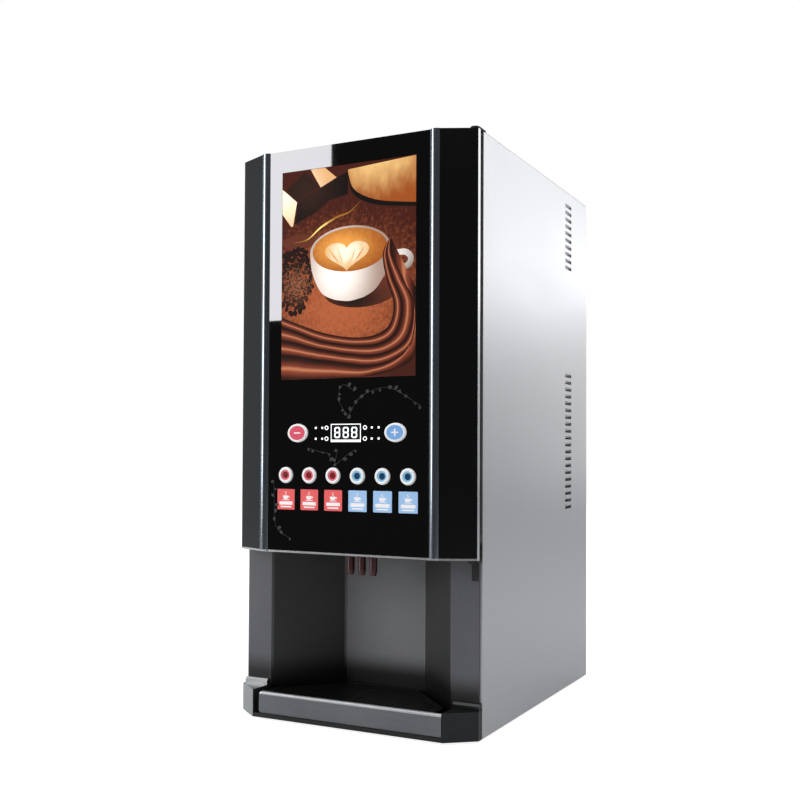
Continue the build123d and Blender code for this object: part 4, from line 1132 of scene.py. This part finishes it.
board_green = moulded("circuit_board", "14532f", grain=(900, 60, 900), mottle=0.9, roughness=0.35,
                      Coat_Weight=0.4)
foam_grey = moulded("gasket_foam", "161616", grain=1100, mottle=0.9, roughness=0.95, relief=0.8)
cover_paint = moulded("cover_enamel", "c9cbcc", grain=220, mottle=0.2, roughness=0.42, relief=0.12)
dress(board_green, "control_board", "main_board")
dress(cover_paint, "inner_cover")
dress(foam_grey, "door_gasket")
cover_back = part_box("door_gasket")[0].y
drive_screws("cover_screws", "door", [
    (x, cover_back, z) for x in (-0.139, 0.139) for z in (0.27, 0.39, 0.53, 0.65)])


# ---------------------------------------------------------------- powder canisters and flaps
# Three canisters of smoky clear plastic stand on the shelf. Their blue flaps lift to fill them,
# and white dosing screws carry the powder out in front.

canister_plastic = moulded("canister_plastic", "d7dde0", grain=(30, 30, 120), mottle=0.3,
                           roughness=0.25, relief=0.04, Alpha=0.28)
flap_blue = moulded("flap_blue", "2c5d9c", grain=600, mottle=0.3, roughness=0.38, relief=0.15)
screw_white = moulded("dosing_screw", "ececec", grain=500, mottle=0.25, roughness=0.4)
for number in (1, 2, 3):
    dress(canister_plastic, f"canister_{number}")
    dress(flap_blue, f"canister_lid_{number}")
    dress(screw_white, f"auger_{number}", f"whipper_{number}")


# ---------------------------------------------------------------- powder heaps
# Coffee, milk powder and cocoa lie heaped in the canisters, with slopes that have slipped towards
# the dosing screw.

def heap_of_powder(name, middle, screw_axis, screw_top, seed):
    """A closed heap that rests on the hopper's slopes, over the screw, and ends in an uneven crust."""
    made = bmesh.new()
    chance = random.Random(seed)
    waves = [(chance.uniform(40, 160), chance.uniform(40, 160), chance.uniform(0, 6)) for _ in range(5)]
    half_wide, half_long, crust = 0.045, 0.097, 0.590
    trough_half, slope_rise = 0.015, 34 / 31
    columns, rows = 24, 40
    top = []
    for i in range(columns + 1):
        line = []
        for j in range(rows + 1):
            x = middle + half_wide * (2 * i / columns - 1)
            y = half_long * (2 * j / rows - 1)
            lift = sum(sin(a * x + b * y + c) for a, b, c in waves) / 5
            slump = sin(pi * i / columns)
            line.append(made.verts.new((x, y, crust - 0.016 + 0.009 * slump + 0.006 * lift)))
        top.append(line)
    bottom = []
    for line in top:
        slope = screw_axis + 0.0012 + (abs(line[0].co.x - middle) - trough_half) * slope_rise
        bottom.append([made.verts.new((v.co.x, v.co.y, max(screw_top + 0.0008, slope))) for v in line])
    for grid, flip in ((top, False), (bottom, True)):
        for i in range(columns):
            for j in range(rows):
                corners = (grid[i][j], grid[i + 1][j], grid[i + 1][j + 1], grid[i][j + 1])
                made.faces.new(corners[::-1] if flip else corners)
    border = [(0, j) for j in range(rows)] + [(i, rows) for i in range(columns)]
    border += [(columns, j) for j in range(rows, 0, -1)] + [(i, 0) for i in range(columns, 0, -1)]
    wall(made, [top[i][j] for i, j in border], [bottom[i][j] for i, j in border])
    return new_piece(name, made)


for number, code in ((1, "4a2a18"), (2, "efe4cc"), (3, "7a4a2c")):
    low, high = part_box(f"canister_{number}")
    screw_low, screw_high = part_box(f"auger_{number}")
    powder_finish = moulded(f"drink_powder_{number}", code, grain=1600, mottle=0.9, roughness=0.95,
                            relief=0.9)
    piece = heap_of_powder(f"powder_{number}", (low.x + high.x) / 2, (screw_low.z + screw_high.z) / 2,
                           screw_high.z, seed=number)
    fit(piece, "cabinet", powder_finish)


# ---------------------------------------------------------------- motors, mixing bowls and hoses
# Steel-cased motors turn the dosing screws and the whipping wheels. The bowls are milky plastic,
# and silicone hoses lead from them to the nozzles.

motor_case = metal("motor_case", "8d9093", lines=500, contrast=0.1, roughness=0.4)
bowl_plastic = moulded("bowl_plastic", "dfe2e2", grain=200, mottle=0.2, roughness=0.3, relief=0.05,
                       Transmission_Weight=0.3)
silicone = moulded("hose_silicone", "e6dfd2", grain=90, mottle=0.25, roughness=0.5, relief=0.05,
                   Subsurface_Weight=0.1)
dress(motor_case, "auger_motors", "whipper_motors")
dress(bowl_plastic, "mixing_bowls")
dress(silicone, "drink_hoses")


# ---------------------------------------------------------------- boiler, pump and valves
# The water is heated in a welded steel boiler. The pump and the three valve coils have brass
# bodies that have dulled a little.

tank_steel = metal("boiler_steel", "c2c3c3", lines=(14, 14, 700), contrast=0.14, roughness=0.34)
brass = metal("dull_brass", "b08d4a", lines=260, contrast=0.16, roughness=0.38)
inlet_black = moulded("inlet_moulding", "101011", grain=800, mottle=0.5, roughness=0.5, relief=0.3)
dress(tank_steel, "boiler")
dress(brass, "pump", "valve_block", "water_fittings")
dress(inlet_black, "power_inlet")
